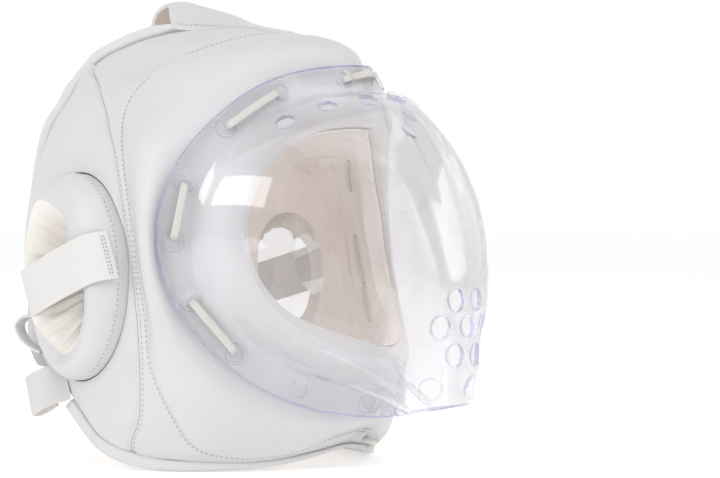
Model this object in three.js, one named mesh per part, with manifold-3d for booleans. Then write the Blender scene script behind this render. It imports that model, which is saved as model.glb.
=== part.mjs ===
// Padded full-face head guard with a clear bubble shield laced to it.
// Millimetres, +Z up, the wearer faces -Y, the neck rim rests on Z = 0.
// The wearer's right is -X. Pieces are drawn for the right side and mirrored.
import * as THREE from "three";
import { mergeVertices } from "three/addons/utils/BufferGeometryUtils.js";
import Module from "manifold-3d";

const wasm = await Module();
wasm.setup();

// ---------------------------------------------------------------- driving sizes
const GAP = 0.3; // clearance between neighbouring pieces

// Outer form of the padded shell: an egg with slightly squared sections.
const FORM = { halfWidth: 104, halfDepth: 116, rise: 134, drop: 200, centreZ: 110, power: 2.1 };
const AXIS_Z = 112; // height of the axis that the face opening is drawn round
const SEAM_THICKNESS = 13; // padding at the sewn seams
const EDGE_THICKNESS = 5; // padding where it runs into a bound edge
const PANEL_PUFF = 2.5; // how far a side panel swells between its edges
const BAND_PUFF = -0.6; // the gusset band is drawn in a little between its seams
const BINDING_WIDTH = 7.4;
const BINDING_THICKNESS = 7.2;

const SHIELD_WALL = 2.4;
const FLANGE = { halfWidth: 101, halfHeight: 94.3, centreZ: 121.6, power: 2.27, width: 17.5 };
const SHIELD_FRONT = { y: -157, z: 84 }; // foremost point of the dome
const CHIN_CUT = { y: -107, z: 26.5, slope: 0.2 }; // the dome's open lower edge lies in this plane
const FLANGE_CLEARANCE = 1.4; // between the flange and the pad under it
const LACE_HOLE_RADIUS = 4.3;
const LACE_HOLE_INSET = 8.6; // from the flange's outer edge
const VENT_RADIUS = 6.2;
const LACE_HOLES = Array.from({ length: 18 }, (_, i) => 10 + 20 * i); // angles from the top
const CROWN_TAPE_START = 3; // sample of the band where the crown tape comes out from under the tongue
const TAPE_FLARE = 40; // degrees that the bound crown and back edges turn out of the shell
const RIM_CLEARANCE = 0.8; // between the padding's lower edge and the tape below it
const LACE = { width: 4.8, thickness: 2.2, lift: 1.7, dip: 2, innerPlace: 0.6 };
const LACE_RUNS = {
  outer: [
    { from: 130, to: 110 },
    { from: 90, to: 70 },
    { from: 50, to: 30 },
  ],
  inner: [
    { from: 90, to: 110, clearance: 0.9 },
    { from: 50, to: 70, clearance: 0.9 },
    { from: 10, to: 30, clearance: 1.25 },
  ],
}; // from hole to hole, as angles from the top; "clearance" is from the lining
const DRILL = { length: 14, sides: 10 };
const SHIELD_STEPS = [0.09, 0.2, 0.33, 0.47, 0.62, 0.8]; // samples along a section of the dome
const SHIELD_CORE = new THREE.Vector3(0, -60, 100); // a point well inside the dome
const CHIN_LIP = { from: 171, width: 3 }; // the flange narrows from this angle on
const CHIN_BULGE = { forward: 5, down: 30, reach: 55 }; // fuller dome below the chin

// Outer seam of the ear ring; its rear half reaches "rake" further back at the top than at mid height.
const EAR = { y: 25, z: 102, halfDepth: 37, halfHeight: 55, rake: 7 };
const LINING_THICKNESS = 1.6;
const LINING_CLEARANCE = 1.05;
const LINING_CENTRE_Y = 20; // the front lining's thickness is measured towards this depth on the axis
const EAR_LINING_INSET = 9; // the lining stops this far inside the ear ring's outer seam
const STRAP_THICKNESS = 2.2;

// Face opening: angle from the top, radius round the axis, depth.
const OPENING = [
  { angle: 0, radius: 70.4, y: -94.6 },
  { angle: 22.5, radius: 72.5, y: -79.2 },
  { angle: 45, radius: 71.6, y: -67.6 },
  { angle: 67.5, radius: 69.5, y: -62.7 },
  { angle: 90, radius: 66.3, y: -65.1 },
  { angle: 112.5, radius: 61.2, y: -76.2 },
  { angle: 135, radius: 52.1, y: -91.8 },
  { angle: 157.5, radius: 47.7, y: -105.3 },
  { angle: 180, radius: 47.1, y: -110.8 },
];

// The front pad's section: how far it swells between its seam and the flange (less at the chin),
// how far its crest stands forward of the opening, and the roll round the opening's edge.
const FRONT_PAD = {
  swell: [
    { f: 0.3, amount: 5 },
    { f: 0.65, amount: 6 },
    { f: 0.9, amount: 1.6 },
  ],
  chinFrom: 150,
  chinPuff: 0.4,
  crest: 4,
  rollDepth: 13,
  rollOut: 4,
  insideBow: 3,
};
const FRONT_PAD_OPENING = 7; // place of the opening's point in a rib of the front pad

// Outer edge of the shield's flange: depth at each angle, and how far it leans back there.
const FLANGE_EDGE = [
  { angle: 0, y: -90.4, lean: 32 },
  { angle: 22.5, y: -70.8, lean: 38 },
  { angle: 45, y: -53.2, lean: 44 },
  { angle: 67.5, y: -35.3, lean: 46 },
  { angle: 90, y: -29.2, lean: 46 },
  { angle: 112.5, y: -39.4, lean: 42 },
  { angle: 135, y: -61.6, lean: 36 },
  { angle: 157.5, y: -86.5, lean: 28 },
  { angle: 180, y: -108.4, lean: 16 },
];

// The gusset band, a row from the crown to the chin. The front columns are the seam to the
// front pad. The rear columns are the bound crown edge, then the seam to the side panel, then
// the bound neck rim. "rear" says which.
const BAND = [
  { fx: 9, fy: -46, fz: 234, rx: 10, ry: -40, rz: 236, rear: "crown" },
  { fx: 27, fy: -41, fz: 233, rx: 24, ry: -20, rz: 238, rear: "crown" },
  { fx: 52, fy: -24, fz: 225, rx: 36, ry: 10, rz: 236, rear: "crown" },
  { fx: 67, fy: -8, fz: 216, rx: 43, ry: 34, rz: 230, rear: "crown" },
  { fx: 78, fy: 3, fz: 201, rx: 50, ry: 55, rz: 219, rear: "seam" },
  { fx: 86, fy: 4, fz: 189, rx: 71, ry: 35, rz: 205, rear: "seam" },
  { fx: 92, fy: 1, fz: 177, rx: 86, ry: 18, rz: 187, rear: "seam" },
  { fx: 97, fy: -4, fz: 162, rx: 95, ry: 5, rz: 168, rear: "seam" },
  { fx: 102, fy: -13, fz: 135, rx: 102, ry: -6, rz: 139, rear: "seam" },
  { fx: 103, fy: -19, fz: 107, rx: 103.5, ry: -13, rz: 109, rear: "seam" },
  { fx: 101, fy: -23, fz: 81, rx: 102, ry: -16, rz: 81, rear: "seam" },
  { fx: 99, fy: -25, fz: 56, rx: 99.5, ry: -16, rz: 54, rear: "seam" },
  { fx: 93, fy: -34, fz: 31, rx: 96, ry: -13, rz: 29, rear: "seam" },
  { fx: 83, fy: -41, fz: 14, rx: 92, ry: -5, rz: 10, rear: "rim", tape: 7.5 },
  { fx: 69, fy: -52, fz: 8, rx: 84, ry: -25, rz: 6.5, rear: "rim", tape: 6.6 },
  { fx: 54, fy: -64, fz: 7.5, rx: 65, ry: -51, rz: 4.2, rear: "rim", tape: 4.4 },
  { fx: 38, fy: -76, fz: 10.5, rx: 45, ry: -66, rz: 5.2, rear: "rim", tape: 5 },
  { fx: 20, fy: -85, fz: 17, rx: 23, ry: -76, rz: 8.5, rear: "rim", tape: 5 },
  { fx: 0, fy: -89, fz: 20.5, rx: 0, ry: -80, rz: 11.5, rear: "rim", tape: 5.5 },
];

// Rear edge of the side panel, a row for each "seam" row of the band and the first "rim" row.
const PANEL_EDGE = [
  { x: 52, y: 60, z: 215 },
  { x: 55, y: 70, z: 198 },
  { x: 57, y: 80, z: 184 },
  { x: 50, y: 94, z: 162 },
  { x: 46, y: 102, z: 138 },
  { x: 46, y: 104, z: 114 },
  { x: 52, y: 97, z: 88 },
  { x: 70, y: 78, z: 62 },
  { x: 91, y: 42, z: 43 },
  { x: 93, y: 22, z: 23 },
];

// Ventilation holes over the brow: angle from the top, place from the flange to the front.
const BROW_VENTS = [
  { degrees: 0, f: 0.16 },
  { degrees: 14, f: 0.16 },
  { degrees: 28, f: 0.14 },
  { degrees: 42, f: 0.1 },
  { degrees: -14, f: 0.16 },
  { degrees: -28, f: 0.14 },
  { degrees: -42, f: 0.1 },
];

// Ventilation holes at the mouth, as places on the dome seen from the front.
const MOUTH_VENTS = [
  { x: -10, z: 91 },
  { x: 10, z: 91 },
  { x: -20, z: 77 },
  { x: 0, z: 77 },
  { x: 20, z: 77 },
  { x: -10, z: 62 },
  { x: 10, z: 62 },
  { x: -22, z: 44 },
  { x: 22, z: 44 },
];

// The elastic strap over the ear ring: its path, as inset from the ring's outer seam and height
// out of the shell, and the direction of its width.
const EAR_STRAP = {
  frontZ: 115,
  rearZ: 92,
  width: 26,
  across: new THREE.Vector3(0, 0.33, 1).normalize(),
  overFront: [
    { inset: -1.6, height: 3 },
    { inset: 1.2, height: 9.6 },
    { inset: 6, height: 14 },
    { inset: 12, height: 16.6 },
  ],
  overRear: [
    { inset: 5, height: 11.6 },
    { inset: 1.6, height: 9.4 },
    { inset: -1.4, height: 5.6 },
    { inset: -1.9, height: 3.4 },
  ],
};

// The elastic loop behind the ear ring, and the direction of its width.
const REAR_LOOP = {
  width: 8,
  across: new THREE.Vector3(1, 0, 0),
  path: [
    { x: 94.5, y: 61, z: 77.5 },
    { x: 94.5, y: 70, z: 77 },
    { x: 94.5, y: 75.5, z: 72.5 },
    { x: 94.5, y: 73, z: 66 },
    { x: 94.5, y: 66, z: 61 },
    { x: 94.5, y: 58, z: 58 },
  ],
};

// The folded leather loop at the lower back corner, and the direction of its width.
const NAPE_LOOP = {
  width: 18,
  across: new THREE.Vector3(0, 0.25, 1).normalize(),
  path: [
    { x: 94.4, y: 40, z: 45 },
    { x: 100.4, y: 46, z: 43 },
    { x: 103.6, y: 53.5, z: 40 },
    { x: 100.6, y: 61, z: 37 },
    { x: 93.2, y: 62.5, z: 36 },
    { x: 91.5, y: 57, z: 38 },
    { x: 93.7, y: 50, z: 41 },
  ],
};

// The crown tongue from front to rear: half width, height of its edges and of its ridge, and the
// tilt of its thickness as it curls down.
const CROWN_FLAP = [
  { y: -25, halfWidth: 14, edgeZ: 240.9, ridgeZ: 241.4, tip: 0 },
  { y: -17, halfWidth: 24, edgeZ: 242, ridgeZ: 243.2, tip: 0 },
  { y: -8, halfWidth: 29, edgeZ: 243.2, ridgeZ: 245, tip: 0 },
  { y: 0, halfWidth: 30, edgeZ: 245.2, ridgeZ: 248.2, tip: 0 },
  { y: 10, halfWidth: 32, edgeZ: 244.6, ridgeZ: 250.5, tip: 0 },
  { y: 20, halfWidth: 24, edgeZ: 247, ridgeZ: 253, tip: 5 },
  { y: 32, halfWidth: 15, edgeZ: 253, ridgeZ: 256, tip: 20 },
  { y: 40, halfWidth: 14, edgeZ: 250.5, ridgeZ: 253, tip: 55 },
  { y: 44, halfWidth: 14, edgeZ: 244, ridgeZ: 246, tip: 75 },
  { y: 45, halfWidth: 14, edgeZ: 237, ridgeZ: 238.5, tip: 85 },
];

const FLAP_ARCH = 1.7; // power of the tongue's arched section

const KNOT = { x: 4, y: -89.6, z: 15.2, radius: 4.5 };

// Section of the ear ring: inset from its outer seam and height out of the shell, at the front,
// at the top and bottom, and at the rear, where it opens like a funnel.
const EAR_SECTION = [
  { name: "seam", front: [0, 0], ends: [0, 0], rear: [0, 0] },
  { name: "shoulder", front: [3, 8], ends: [2.5, 8], rear: [0.5, 5] },
  { name: "crest", front: [12, 14.5], ends: [9, 13], rear: [4, 9] },
  { name: "lip", front: [20, 11], ends: [16, 8.5], rear: [10, 7] },
  { name: "throat", front: [22.5, 3], ends: [23, 0], rear: [18, 1] },
  { name: "inner_edge", front: [15, -7], ends: [26, -6.5], rear: [22, -4.5] },
  { name: "inner_face", front: [8, -8.5], ends: [16, -7.5], rear: [12, -5.5] },
  { name: "back", front: [0.5, -8], ends: [1, -7], rear: [1, -5] },
];

const SMOOTH_STEPS = 2; // samples between two table rows
const EDGE_TAPER_ROWS = 4; // samples over which the seam thins towards a bound edge

// ---------------------------------------------------------------- materials
const material = (color, roughness, extra = {}) =>
  new THREE.MeshStandardMaterial({ color, roughness, metalness: 0, ...extra });
const whiteLeather = material(0xe9e8e8, 0.5);
const bindingTape = material(0xe6e4e2, 0.6);
const liningCloth = material(0xcfc3b8, 0.9);
const clearShield = material(0xeef0ff, 0.05, { transparent: true, opacity: 0.25 });
const laceCord = material(0xeae8df, 0.8);
const elasticWeb = material(0xeeecea, 0.85);

// ---------------------------------------------------------------- small helpers
const vec = (x, y, z) => new THREE.Vector3(x, y, z);
const mix = (a, b, f) => a.clone().lerp(b, f);
const move = (p, direction, distance) => p.clone().addScaledVector(direction, distance);
const radians = THREE.MathUtils.degToRad;

// Smooth value between the rows of a table of angles from 0 to 180 degrees, even at both ends.
function tableValue(table, column, degrees) {
  const angle = Math.abs(((degrees + 540) % 360) - 180);
  const step = table[1].angle - table[0].angle;
  const last = table.length - 1;
  const k = Math.min(Math.floor(angle / step), last - 1);
  const at = (i) => table[i < 0 ? -i : i > last ? 2 * last - i : i][column];
  const f = angle / step - k;
  const [a, b, c, d] = [at(k - 1), at(k), at(k + 1), at(k + 2)];
  return b + 0.5 * f * (c - a + f * (2 * a - 5 * b + 4 * c - d + f * (3 * (b - c) + d - a)));
}

// Centripetal spline through points, with SMOOTH_STEPS samples for each interval.
function smoothLine(points, steps = SMOOTH_STEPS) {
  const curve = new THREE.CatmullRomCurve3(points, false, "centripetal");
  return Array.from({ length: (points.length - 1) * steps + 1 }, (_, i) =>
    curve.getPoint(i / ((points.length - 1) * steps)));
}

// ---------------------------------------------------------------- the shell's form
function formLevel(p) {
  const rise = p.z > FORM.centreZ ? FORM.rise : FORM.drop;
  return Math.abs(p.x / FORM.halfWidth) ** FORM.power + Math.abs(p.y / FORM.halfDepth) ** FORM.power
    + Math.abs((p.z - FORM.centreZ) / rise) ** FORM.power;
}

// The point of the form in the direction of p from its centre.
function onForm(p) {
  const centre = vec(0, 0, FORM.centreZ);
  return p.clone().sub(centre).multiplyScalar(formLevel(p) ** (-1 / FORM.power)).add(centre);
}

function formNormal(p) {
  const rise = p.z > FORM.centreZ ? FORM.rise : FORM.drop;
  const slope = (value, size) => Math.sign(value) * Math.abs(value / size) ** (FORM.power - 1) / size;
  return vec(slope(p.x, FORM.halfWidth), slope(p.y, FORM.halfDepth), slope(p.z - FORM.centreZ, rise))
    .normalize();
}

// ---------------------------------------------------------------- solids from loops of points
// Joins loops of equal length into one closed body; an open row of loops gets flat end caps.
function loft(loops, closed = false) {
  const size = loops[0].length;
  const positions = loops.flat().flatMap((p) => [p.x, p.y, p.z]);
  const index = [];
  const rows = closed ? loops.length : loops.length - 1;
  for (let row = 0; row < rows; row += 1) {
    const next = (row + 1) % loops.length;
    for (let i = 0; i < size; i += 1) {
      const j = (i + 1) % size;
      const [a, b, c, d] = [row * size + i, row * size + j, next * size + j, next * size + i];
      index.push(a, b, c, a, c, d);
    }
  }
  if (!closed) {
    capFaces(loops[0]).forEach(([a, b, c]) => index.push(a, c, b));
    const start = (loops.length - 1) * size;
    capFaces(loops[loops.length - 1]).forEach(([a, b, c]) => index.push(start + a, start + b, start + c));
  }
  return facingOut(positions, index);
}

// Triangles of a loop, drawn on the plane that fits it best, wound as the loop is.
function capFaces(loop) {
  const normal = vec(0, 0, 0);
  loop.forEach((p, i) => normal.add(p.clone().cross(loop[(i + 1) % loop.length])));
  normal.normalize();
  const reference = Math.abs(normal.z) > 0.9 ? vec(1, 0, 0) : vec(0, 0, 1);
  const u = reference.clone().cross(normal).normalize();
  const v = normal.clone().cross(u);
  const flat = loop.map((p) => new THREE.Vector2(p.dot(u), p.dot(v)));
  return THREE.ShapeUtils.triangulateShape(flat, []);
}

function facingOut(positions, index) {
  let volume = 0;
  for (let i = 0; i < index.length; i += 3) {
    const corners = index.slice(i, i + 3).map((k) => vec(...positions.slice(3 * k, 3 * k + 3)));
    const [a, b, c] = corners;
    volume += a.dot(b.cross(c));
  }
  if (volume < 0) index.reverse();
  const geometry = new THREE.BufferGeometry();
  geometry.setAttribute("position", new THREE.Float32BufferAttribute(positions, 3));
  geometry.setIndex(index);
  return geometry;
}

function bareGeometry(geometry) {
  const bare = geometry.clone();
  bare.deleteAttribute("normal");
  bare.deleteAttribute("uv");
  return bare;
}

function toManifold(geometry) {
  const merged = mergeVertices(bareGeometry(geometry), 1e-4);
  return new wasm.Manifold(new wasm.Mesh({
    numProp: 3,
    vertProperties: Float32Array.from(merged.attributes.position.array),
    triVerts: Uint32Array.from(merged.index.array),
  }));
}

function fromManifold(solid) {
  const mesh = solid.getMesh();
  const geometry = new THREE.BufferGeometry();
  geometry.setAttribute("position", new THREE.Float32BufferAttribute(mesh.vertProperties, 3));
  geometry.setIndex(Array.from(mesh.triVerts));
  return geometry;
}

function subtract(geometry, ...cutters) {
  const cut = (solid, cutter) => solid.subtract(toManifold(cutter));
  return fromManifold(cutters.reduce(cut, toManifold(geometry)));
}

function mirrored(geometry) {
  const copy = geometry.clone();
  copy.scale(-1, 1, 1);
  return facingOut(Array.from(copy.attributes.position.array), Array.from(copy.index.array));
}

// A rounded bar through frames of a point, its "out" direction and its normal.
function bar(frames, halfThickness, sides = 8) {
  return loft(frames.map(({ point, out, normal, halfWidth }) =>
    Array.from({ length: sides }, (_, k) => {
      const turn = (2 * Math.PI * (k + 0.5)) / sides;
      return move(move(point, out, halfWidth * Math.cos(turn)), normal, halfThickness * Math.sin(turn));
    })));
}

// ---------------------------------------------------------------- shared curves
const side = -1; // the right side is drawn, at negative X
const frontSeam = smoothLine(BAND.map((row) => vec(side * row.fx, row.fy, row.fz)));
const rearLine = smoothLine(BAND.map((row) => vec(side * row.rx, row.ry, row.rz)));
const firstSeamRow = BAND.findIndex((row) => row.rear === "seam");
const firstRimRow = BAND.findIndex((row) => row.rear === "rim");
const seamStart = firstSeamRow * SMOOTH_STEPS;
const seamEnd = firstRimRow * SMOOTH_STEPS;
const panelEdge = smoothLine(PANEL_EDGE.map((row) => vec(side * row.x, row.y, row.z)));

// Direction across the band at sample i, from its front seam to its rear line.
const acrossBand = (i) => rearLine[i].clone().sub(frontSeam[i]).normalize();

function flangeEdgePoint(degrees) {
  const t = radians(degrees);
  const [c, s] = [Math.cos(t), Math.sin(t)];
  const k = (Math.abs(c) ** FLANGE.power + Math.abs(s) ** FLANGE.power) ** (-1 / FLANGE.power);
  return vec(side * FLANGE.halfWidth * s * k, tableValue(FLANGE_EDGE, "y", degrees),
    FLANGE.centreZ + FLANGE.halfHeight * c * k);
}

// Unit direction along the flange, from its outer edge towards the dome.
function flangeInward(degrees) {
  const edge = flangeEdgePoint(degrees);
  const lean = radians(tableValue(FLANGE_EDGE, "lean", degrees));
  const inward = vec(-edge.x, 0, FLANGE.centreZ - edge.z).normalize();
  return vec(inward.x * Math.cos(lean), -Math.sin(lean), inward.z * Math.cos(lean));
}

// Unit normal of the flange, out of its front face.
function flangeNormal(degrees) {
  const step = 2;
  const along = flangeEdgePoint(degrees + step).sub(flangeEdgePoint(degrees - step)).normalize();
  const normal = along.cross(flangeInward(degrees)).normalize();
  return normal.y > 0 ? normal.negate() : normal;
}

const onFlange = (degrees, inset) => move(flangeEdgePoint(degrees), flangeInward(degrees), inset);

function openingPoint(degrees) {
  const radius = tableValue(OPENING, "radius", degrees);
  const t = radians(degrees);
  return vec(side * radius * Math.sin(t), tableValue(OPENING, "y", degrees), AXIS_Z + radius * Math.cos(t));
}

// ---------------------------------------------------------------- front pad
// Angle round the axis at which a rib of the front pad leaves the band's front seam.
const ribAngle = (p) => THREE.MathUtils.radToDeg(Math.atan2(Math.abs(p.x), p.z - AXIS_Z));

// One rib of the front pad: a closed loop from the seam over the front, round the opening
// edge and back along the inside.
function frontPadRib(seamPoint, across) {
  const degrees = ribAngle(seamPoint);
  const outNormal = formNormal(seamPoint);
  const seam = move(seamPoint, across, -GAP / 2);
  const seamInner = move(seam, outNormal, -SEAM_THICKNESS);
  const normal = flangeNormal(degrees);
  const under = -(SHIELD_WALL + FLANGE_CLEARANCE);
  const flangeOuter = move(onFlange(degrees, GAP), normal, under);
  const flangeInner = move(onFlange(degrees, FLANGE.width), normal, under);
  const opening = openingPoint(degrees);
  const t = radians(degrees);
  const outward = vec(side * Math.sin(t), 0, Math.cos(t));
  const forward = vec(0, -1, 0);
  const puff = degrees > FRONT_PAD.chinFrom ? FRONT_PAD.chinPuff : 1;
  const swollen = FRONT_PAD.swell.map(({ f, amount }) => {
    const bulge = outNormal.clone().lerp(normal, f).normalize();
    return move(mix(seam, flangeOuter, f), bulge, amount * puff);
  });
  const crest = move(move(mix(flangeInner, opening, 0.6), forward, FRONT_PAD.crest), outward, 1);
  const roll = move(move(opening, forward, -FRONT_PAD.rollDepth), outward, FRONT_PAD.rollOut);
  const inside = move(mix(roll, seamInner, 0.5), outNormal, FRONT_PAD.insideBow);
  return [seam, ...swollen, flangeOuter, flangeInner, crest, opening, roll, inside, seamInner];
}

function frontPadRibs() {
  const right = frontSeam.map((p, i) => frontPadRib(p, acrossBand(i)));
  const centreTop = vec(0, BAND[0].fy - 1, BAND[0].fz + 0.5);
  right.unshift(frontPadRib(centreTop, vec(0, 1, 0)));
  const left = right.slice(1, -1).reverse().map((rib) => rib.map((p) => vec(-p.x, p.y, p.z)));
  return [...right, ...left];
}

const frontPad = () => loft(frontPadRibs(), true);

// ---------------------------------------------------------------- band and side panel
// A rib across a padded strip from "start" to "end", outer side first and back along the inside.
function paddedRib(start, end, fractions, puff, thicknessAt) {
  const endLift = end.clone().sub(onForm(end));
  const startLift = start.clone().sub(onForm(start));
  const outer = [];
  const inner = [];
  fractions.forEach((f) => {
    const base = onForm(mix(start, end, f));
    const normal = formNormal(base);
    const point = move(base, normal, puff * Math.sin(Math.PI * f));
    point.addScaledVector(endLift, f).addScaledVector(startLift, 1 - f);
    outer.push(point);
    inner.push(move(point, normal, -thicknessAt(f)));
  });
  return [...outer, ...inner.reverse()];
}

// Padding along the seam between band and side panel, thin where it meets a bound edge.
function rearSeamThickness(i) {
  const fromEnd = Math.min(i - seamStart, seamEnd - i) / EDGE_TAPER_ROWS;
  return THREE.MathUtils.lerp(EDGE_THICKNESS, SEAM_THICKNESS, THREE.MathUtils.clamp(fromEnd, 0, 1));
}

function bandRibs() {
  return frontSeam.map((front, i) => {
    const across = acrossBand(i);
    const start = move(front, across, GAP / 2);
    const end = move(rearLine[i], across, -GAP / 2);
    const thickness = (f) => THREE.MathUtils.lerp(SEAM_THICKNESS, rearSeamThickness(i), f);
    const rib = paddedRib(start, end, [0, 0.33, 0.67, 1], BAND_PUFF, thickness);
    return rib.map((p) => vec(side * Math.max(side * p.x, GAP / 2), p.y, p.z));
  });
}

function panelRibs() {
  const seam = rearLine.slice(seamStart, seamEnd + 1);
  return seam.map((front, i) => {
    const across = panelEdge[i].clone().sub(front).normalize();
    const start = move(front, acrossBand(seamStart + i), GAP / 2);
    const end = move(panelEdge[i], across, -GAP / 2);
    const seamThickness = rearSeamThickness(seamStart + i);
    const thickness = (f) => THREE.MathUtils.lerp(seamThickness, EDGE_THICKNESS, f ** 3);
    return paddedRib(start, end, [0, 0.16, 0.32, 0.5, 0.68, 0.84, 1], PANEL_PUFF, thickness);
  });
}

// ---------------------------------------------------------------- ear ring
const EAR_STEPS = 28;

// Point of the form on an oval "grow" larger than the ear ring's outer seam; turn 0 is the front.
function earPoint(turn, grow) {
  const rake = Math.cos(turn) < 0 ? EAR.rake * Math.sin(turn) : 0;
  const y = EAR.y - (EAR.halfDepth + grow + rake) * Math.cos(turn);
  const z = EAR.z + (EAR.halfHeight + grow) * Math.sin(turn);
  const rise = z > FORM.centreZ ? FORM.rise : FORM.drop;
  const rest = 1 - Math.abs(y / FORM.halfDepth) ** FORM.power
    - Math.abs((z - FORM.centreZ) / rise) ** FORM.power;
  return vec(side * FORM.halfWidth * rest ** (1 / FORM.power), y, z);
}

const earTurns = Array.from({ length: EAR_STEPS }, (_, i) => (2 * Math.PI * i) / EAR_STEPS);

// A plug through the shell, "grow" larger than the ear ring's outer seam.
function earPlug(grow, outside, inside) {
  const loop = (depth) => earTurns.map((turn) => {
    const p = earPoint(turn, grow);
    return move(p, formNormal(p), depth);
  });
  return loft([loop(outside), loop(-inside)]);
}

// The ear ring's section at a turn: its front, end and rear shapes blended round the oval.
function earSectionPoint(row, turn) {
  const c = Math.cos(turn);
  const blend = (k) => row.ends[k] + (c * (row.front[k] - row.rear[k])) / 2
    + c * c * ((row.front[k] + row.rear[k]) / 2 - row.ends[k]);
  const base = earPoint(turn, 0);
  const normal = formNormal(base);
  const inward = earPoint(turn, -blend(0)).sub(base);
  return move(base.clone().add(inward), normal, blend(1));
}

function earRing() {
  return loft(earTurns.map((turn) => EAR_SECTION.map((row) => earSectionPoint(row, turn))), true);
}

// ---------------------------------------------------------------- lining
// A thin cloth wall beside a row of points on the padding's inner face.
function clothLoop(points, inwardAt) {
  const near = points.map((p) => move(p, inwardAt(p), LINING_CLEARANCE));
  const far = points.map((p) => move(p, inwardAt(p), LINING_CLEARANCE + LINING_THICKNESS));
  return [...near, ...far.reverse()];
}

// Inner points of a padded rib, from its start to its end.
const innerPoints = (rib) => rib.slice(rib.length / 2).reverse();

function sideLining() {
  const band = bandRibs().slice(seamStart, seamEnd + 1);
  const loops = panelRibs().map((rib, i) => {
    const bandInner = innerPoints(band[i]).slice(1);
    const panelInner = innerPoints(rib).slice(1, -1);
    return clothLoop([...bandInner, ...panelInner], (p) => formNormal(p).negate());
  });
  return subtract(loft(loops), earPlug(-EAR_LINING_INSET, 30, 60));
}

function frontLining() {
  const centre = vec(0, LINING_CENTRE_Y, AXIS_Z);
  const loops = frontPadRibs().filter((_, i) => i % 2 === 0).map((rib) => {
    const [opening, roll, inside, seamInner] = rib.slice(FRONT_PAD_OPENING);
    const points = [mix(opening, roll, 0.5), roll, inside, mix(inside, seamInner, 0.9)];
    return clothLoop(points, (p) => centre.clone().sub(p).normalize());
  });
  return loft(loops, true);
}

// ---------------------------------------------------------------- bindings
// Frame of a tape bar just past the end of a padded rib, turned out of the shell by the flare.
function ribEndFrame(rib) {
  const last = rib.length / 2 - 1;
  const [before, outer, inner] = rib.slice(last - 1, last + 2);
  const outward = outer.clone().sub(inner).normalize();
  const tangent = outer.clone().sub(before).normalize();
  tangent.addScaledVector(outward, -tangent.dot(outward)).normalize();
  const [c, s] = [Math.cos(radians(TAPE_FLARE)), Math.sin(radians(TAPE_FLARE))];
  const out = tangent.clone().multiplyScalar(c).addScaledVector(outward, s);
  const normal = outward.clone().multiplyScalar(c).addScaledVector(tangent, -s);
  const halfWidth = BINDING_WIDTH / 2;
  const clear = (EDGE_THICKNESS / 2) * s + 3 * GAP;
  return { point: move(mix(outer, inner, 0.5), out, halfWidth + clear), out, normal, halfWidth };
}

const CORNER_ROWS = 2; // samples of the panel's edge that belong to the neck rim

function edgeBinding() {
  const crown = bandRibs().slice(CROWN_TAPE_START, seamStart);
  const rear = panelRibs().slice(1, -CORNER_ROWS - 1);
  return bar([...crown, ...rear].map(ribEndFrame), BINDING_THICKNESS / 2);
}

// Middle of a padded rib's end face, and how far the tape reaches beyond it.
function rimStations() {
  const endMiddle = (rib) => mix(rib[rib.length / 2 - 1], rib[rib.length / 2], 0.5);
  const tapeAt = (i) => {
    const row = i / SMOOTH_STEPS;
    return THREE.MathUtils.lerp(BAND[Math.floor(row)].tape, BAND[Math.ceil(row)].tape, row % 1);
  };
  const chin = bandRibs().slice(seamEnd + 1)
    .map((rib, k) => ({ edge: endMiddle(rib), width: tapeAt(seamEnd + 1 + k) })).reverse();
  const panel = panelRibs();
  const lowest = panel.at(-1);
  const below = lowest.slice(1, lowest.length / 2 - 1)
    .map((outer, k) => mix(outer, lowest[lowest.length - 2 - k], 0.5));
  const corner = panel.slice(-CORNER_ROWS).reverse().map(endMiddle);
  return [...chin, ...[...below, ...corner].map((edge) => ({ edge, width: BINDING_WIDTH }))];
}

// The tape round the neck rim hangs straight down from the padding; its underside is cut flat
// where the helmet stands on it.
function rimBinding() {
  const right = rimStations();
  const left = right.slice(1).map(({ edge, width }) => ({ edge: vec(-edge.x, edge.y, edge.z), width }));
  const stations = [...left.reverse(), ...right];
  const frames = stations.map(({ edge, width }, i) => {
    const ahead = stations[Math.min(i + 1, stations.length - 1)].edge;
    const along = ahead.clone().sub(stations[Math.max(i - 1, 0)].edge).normalize();
    const out = vec(0, 0, -1).addScaledVector(along, along.z).normalize();
    const normal = along.clone().cross(out);
    return { point: move(edge, out, width / 2 + RIM_CLEARANCE), out, normal, halfWidth: width / 2 };
  });
  const ground = new THREE.BoxGeometry(400, 400, 40);
  ground.translate(0, 0, -20);
  return subtract(bar(frames, BINDING_THICKNESS / 2), ground);
}

// ---------------------------------------------------------------- face shield
const ARC = 0.5523; // handle length that makes a quarter ellipse from a Bezier curve
const APEX = vec(0, SHIELD_FRONT.y, SHIELD_FRONT.z);

// Width of the flange: it narrows to a thin lip at the bottom centre.
function flangeWidth(degrees) {
  const angle = Math.abs(((degrees + 540) % 360) - 180);
  const f = THREE.MathUtils.smoothstep(angle, CHIN_LIP.from, 180);
  return THREE.MathUtils.lerp(FLANGE.width, CHIN_LIP.width, f);
}

// Point of the dome's outer face, from the flange (f = 0) to the foremost point (f = 1).
function domePoint(degrees, f) {
  const start = onFlange(degrees, flangeWidth(degrees));
  const low = Math.max(0, -Math.cos(radians(degrees))) ** 2;
  const depth = start.y - APEX.y;
  const flat = vec(start.x - APEX.x, 0, start.z - APEX.z);
  const reach = ARC * flat.length() + CHIN_BULGE.reach * low;
  const first = start.clone().add(vec(0, -ARC * depth - CHIN_BULGE.forward * low, -CHIN_BULGE.down * low));
  const second = move(APEX, flat.normalize(), reach);
  return new THREE.CubicBezierCurve3(start, first, second, APEX).getPoint(f);
}

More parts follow.
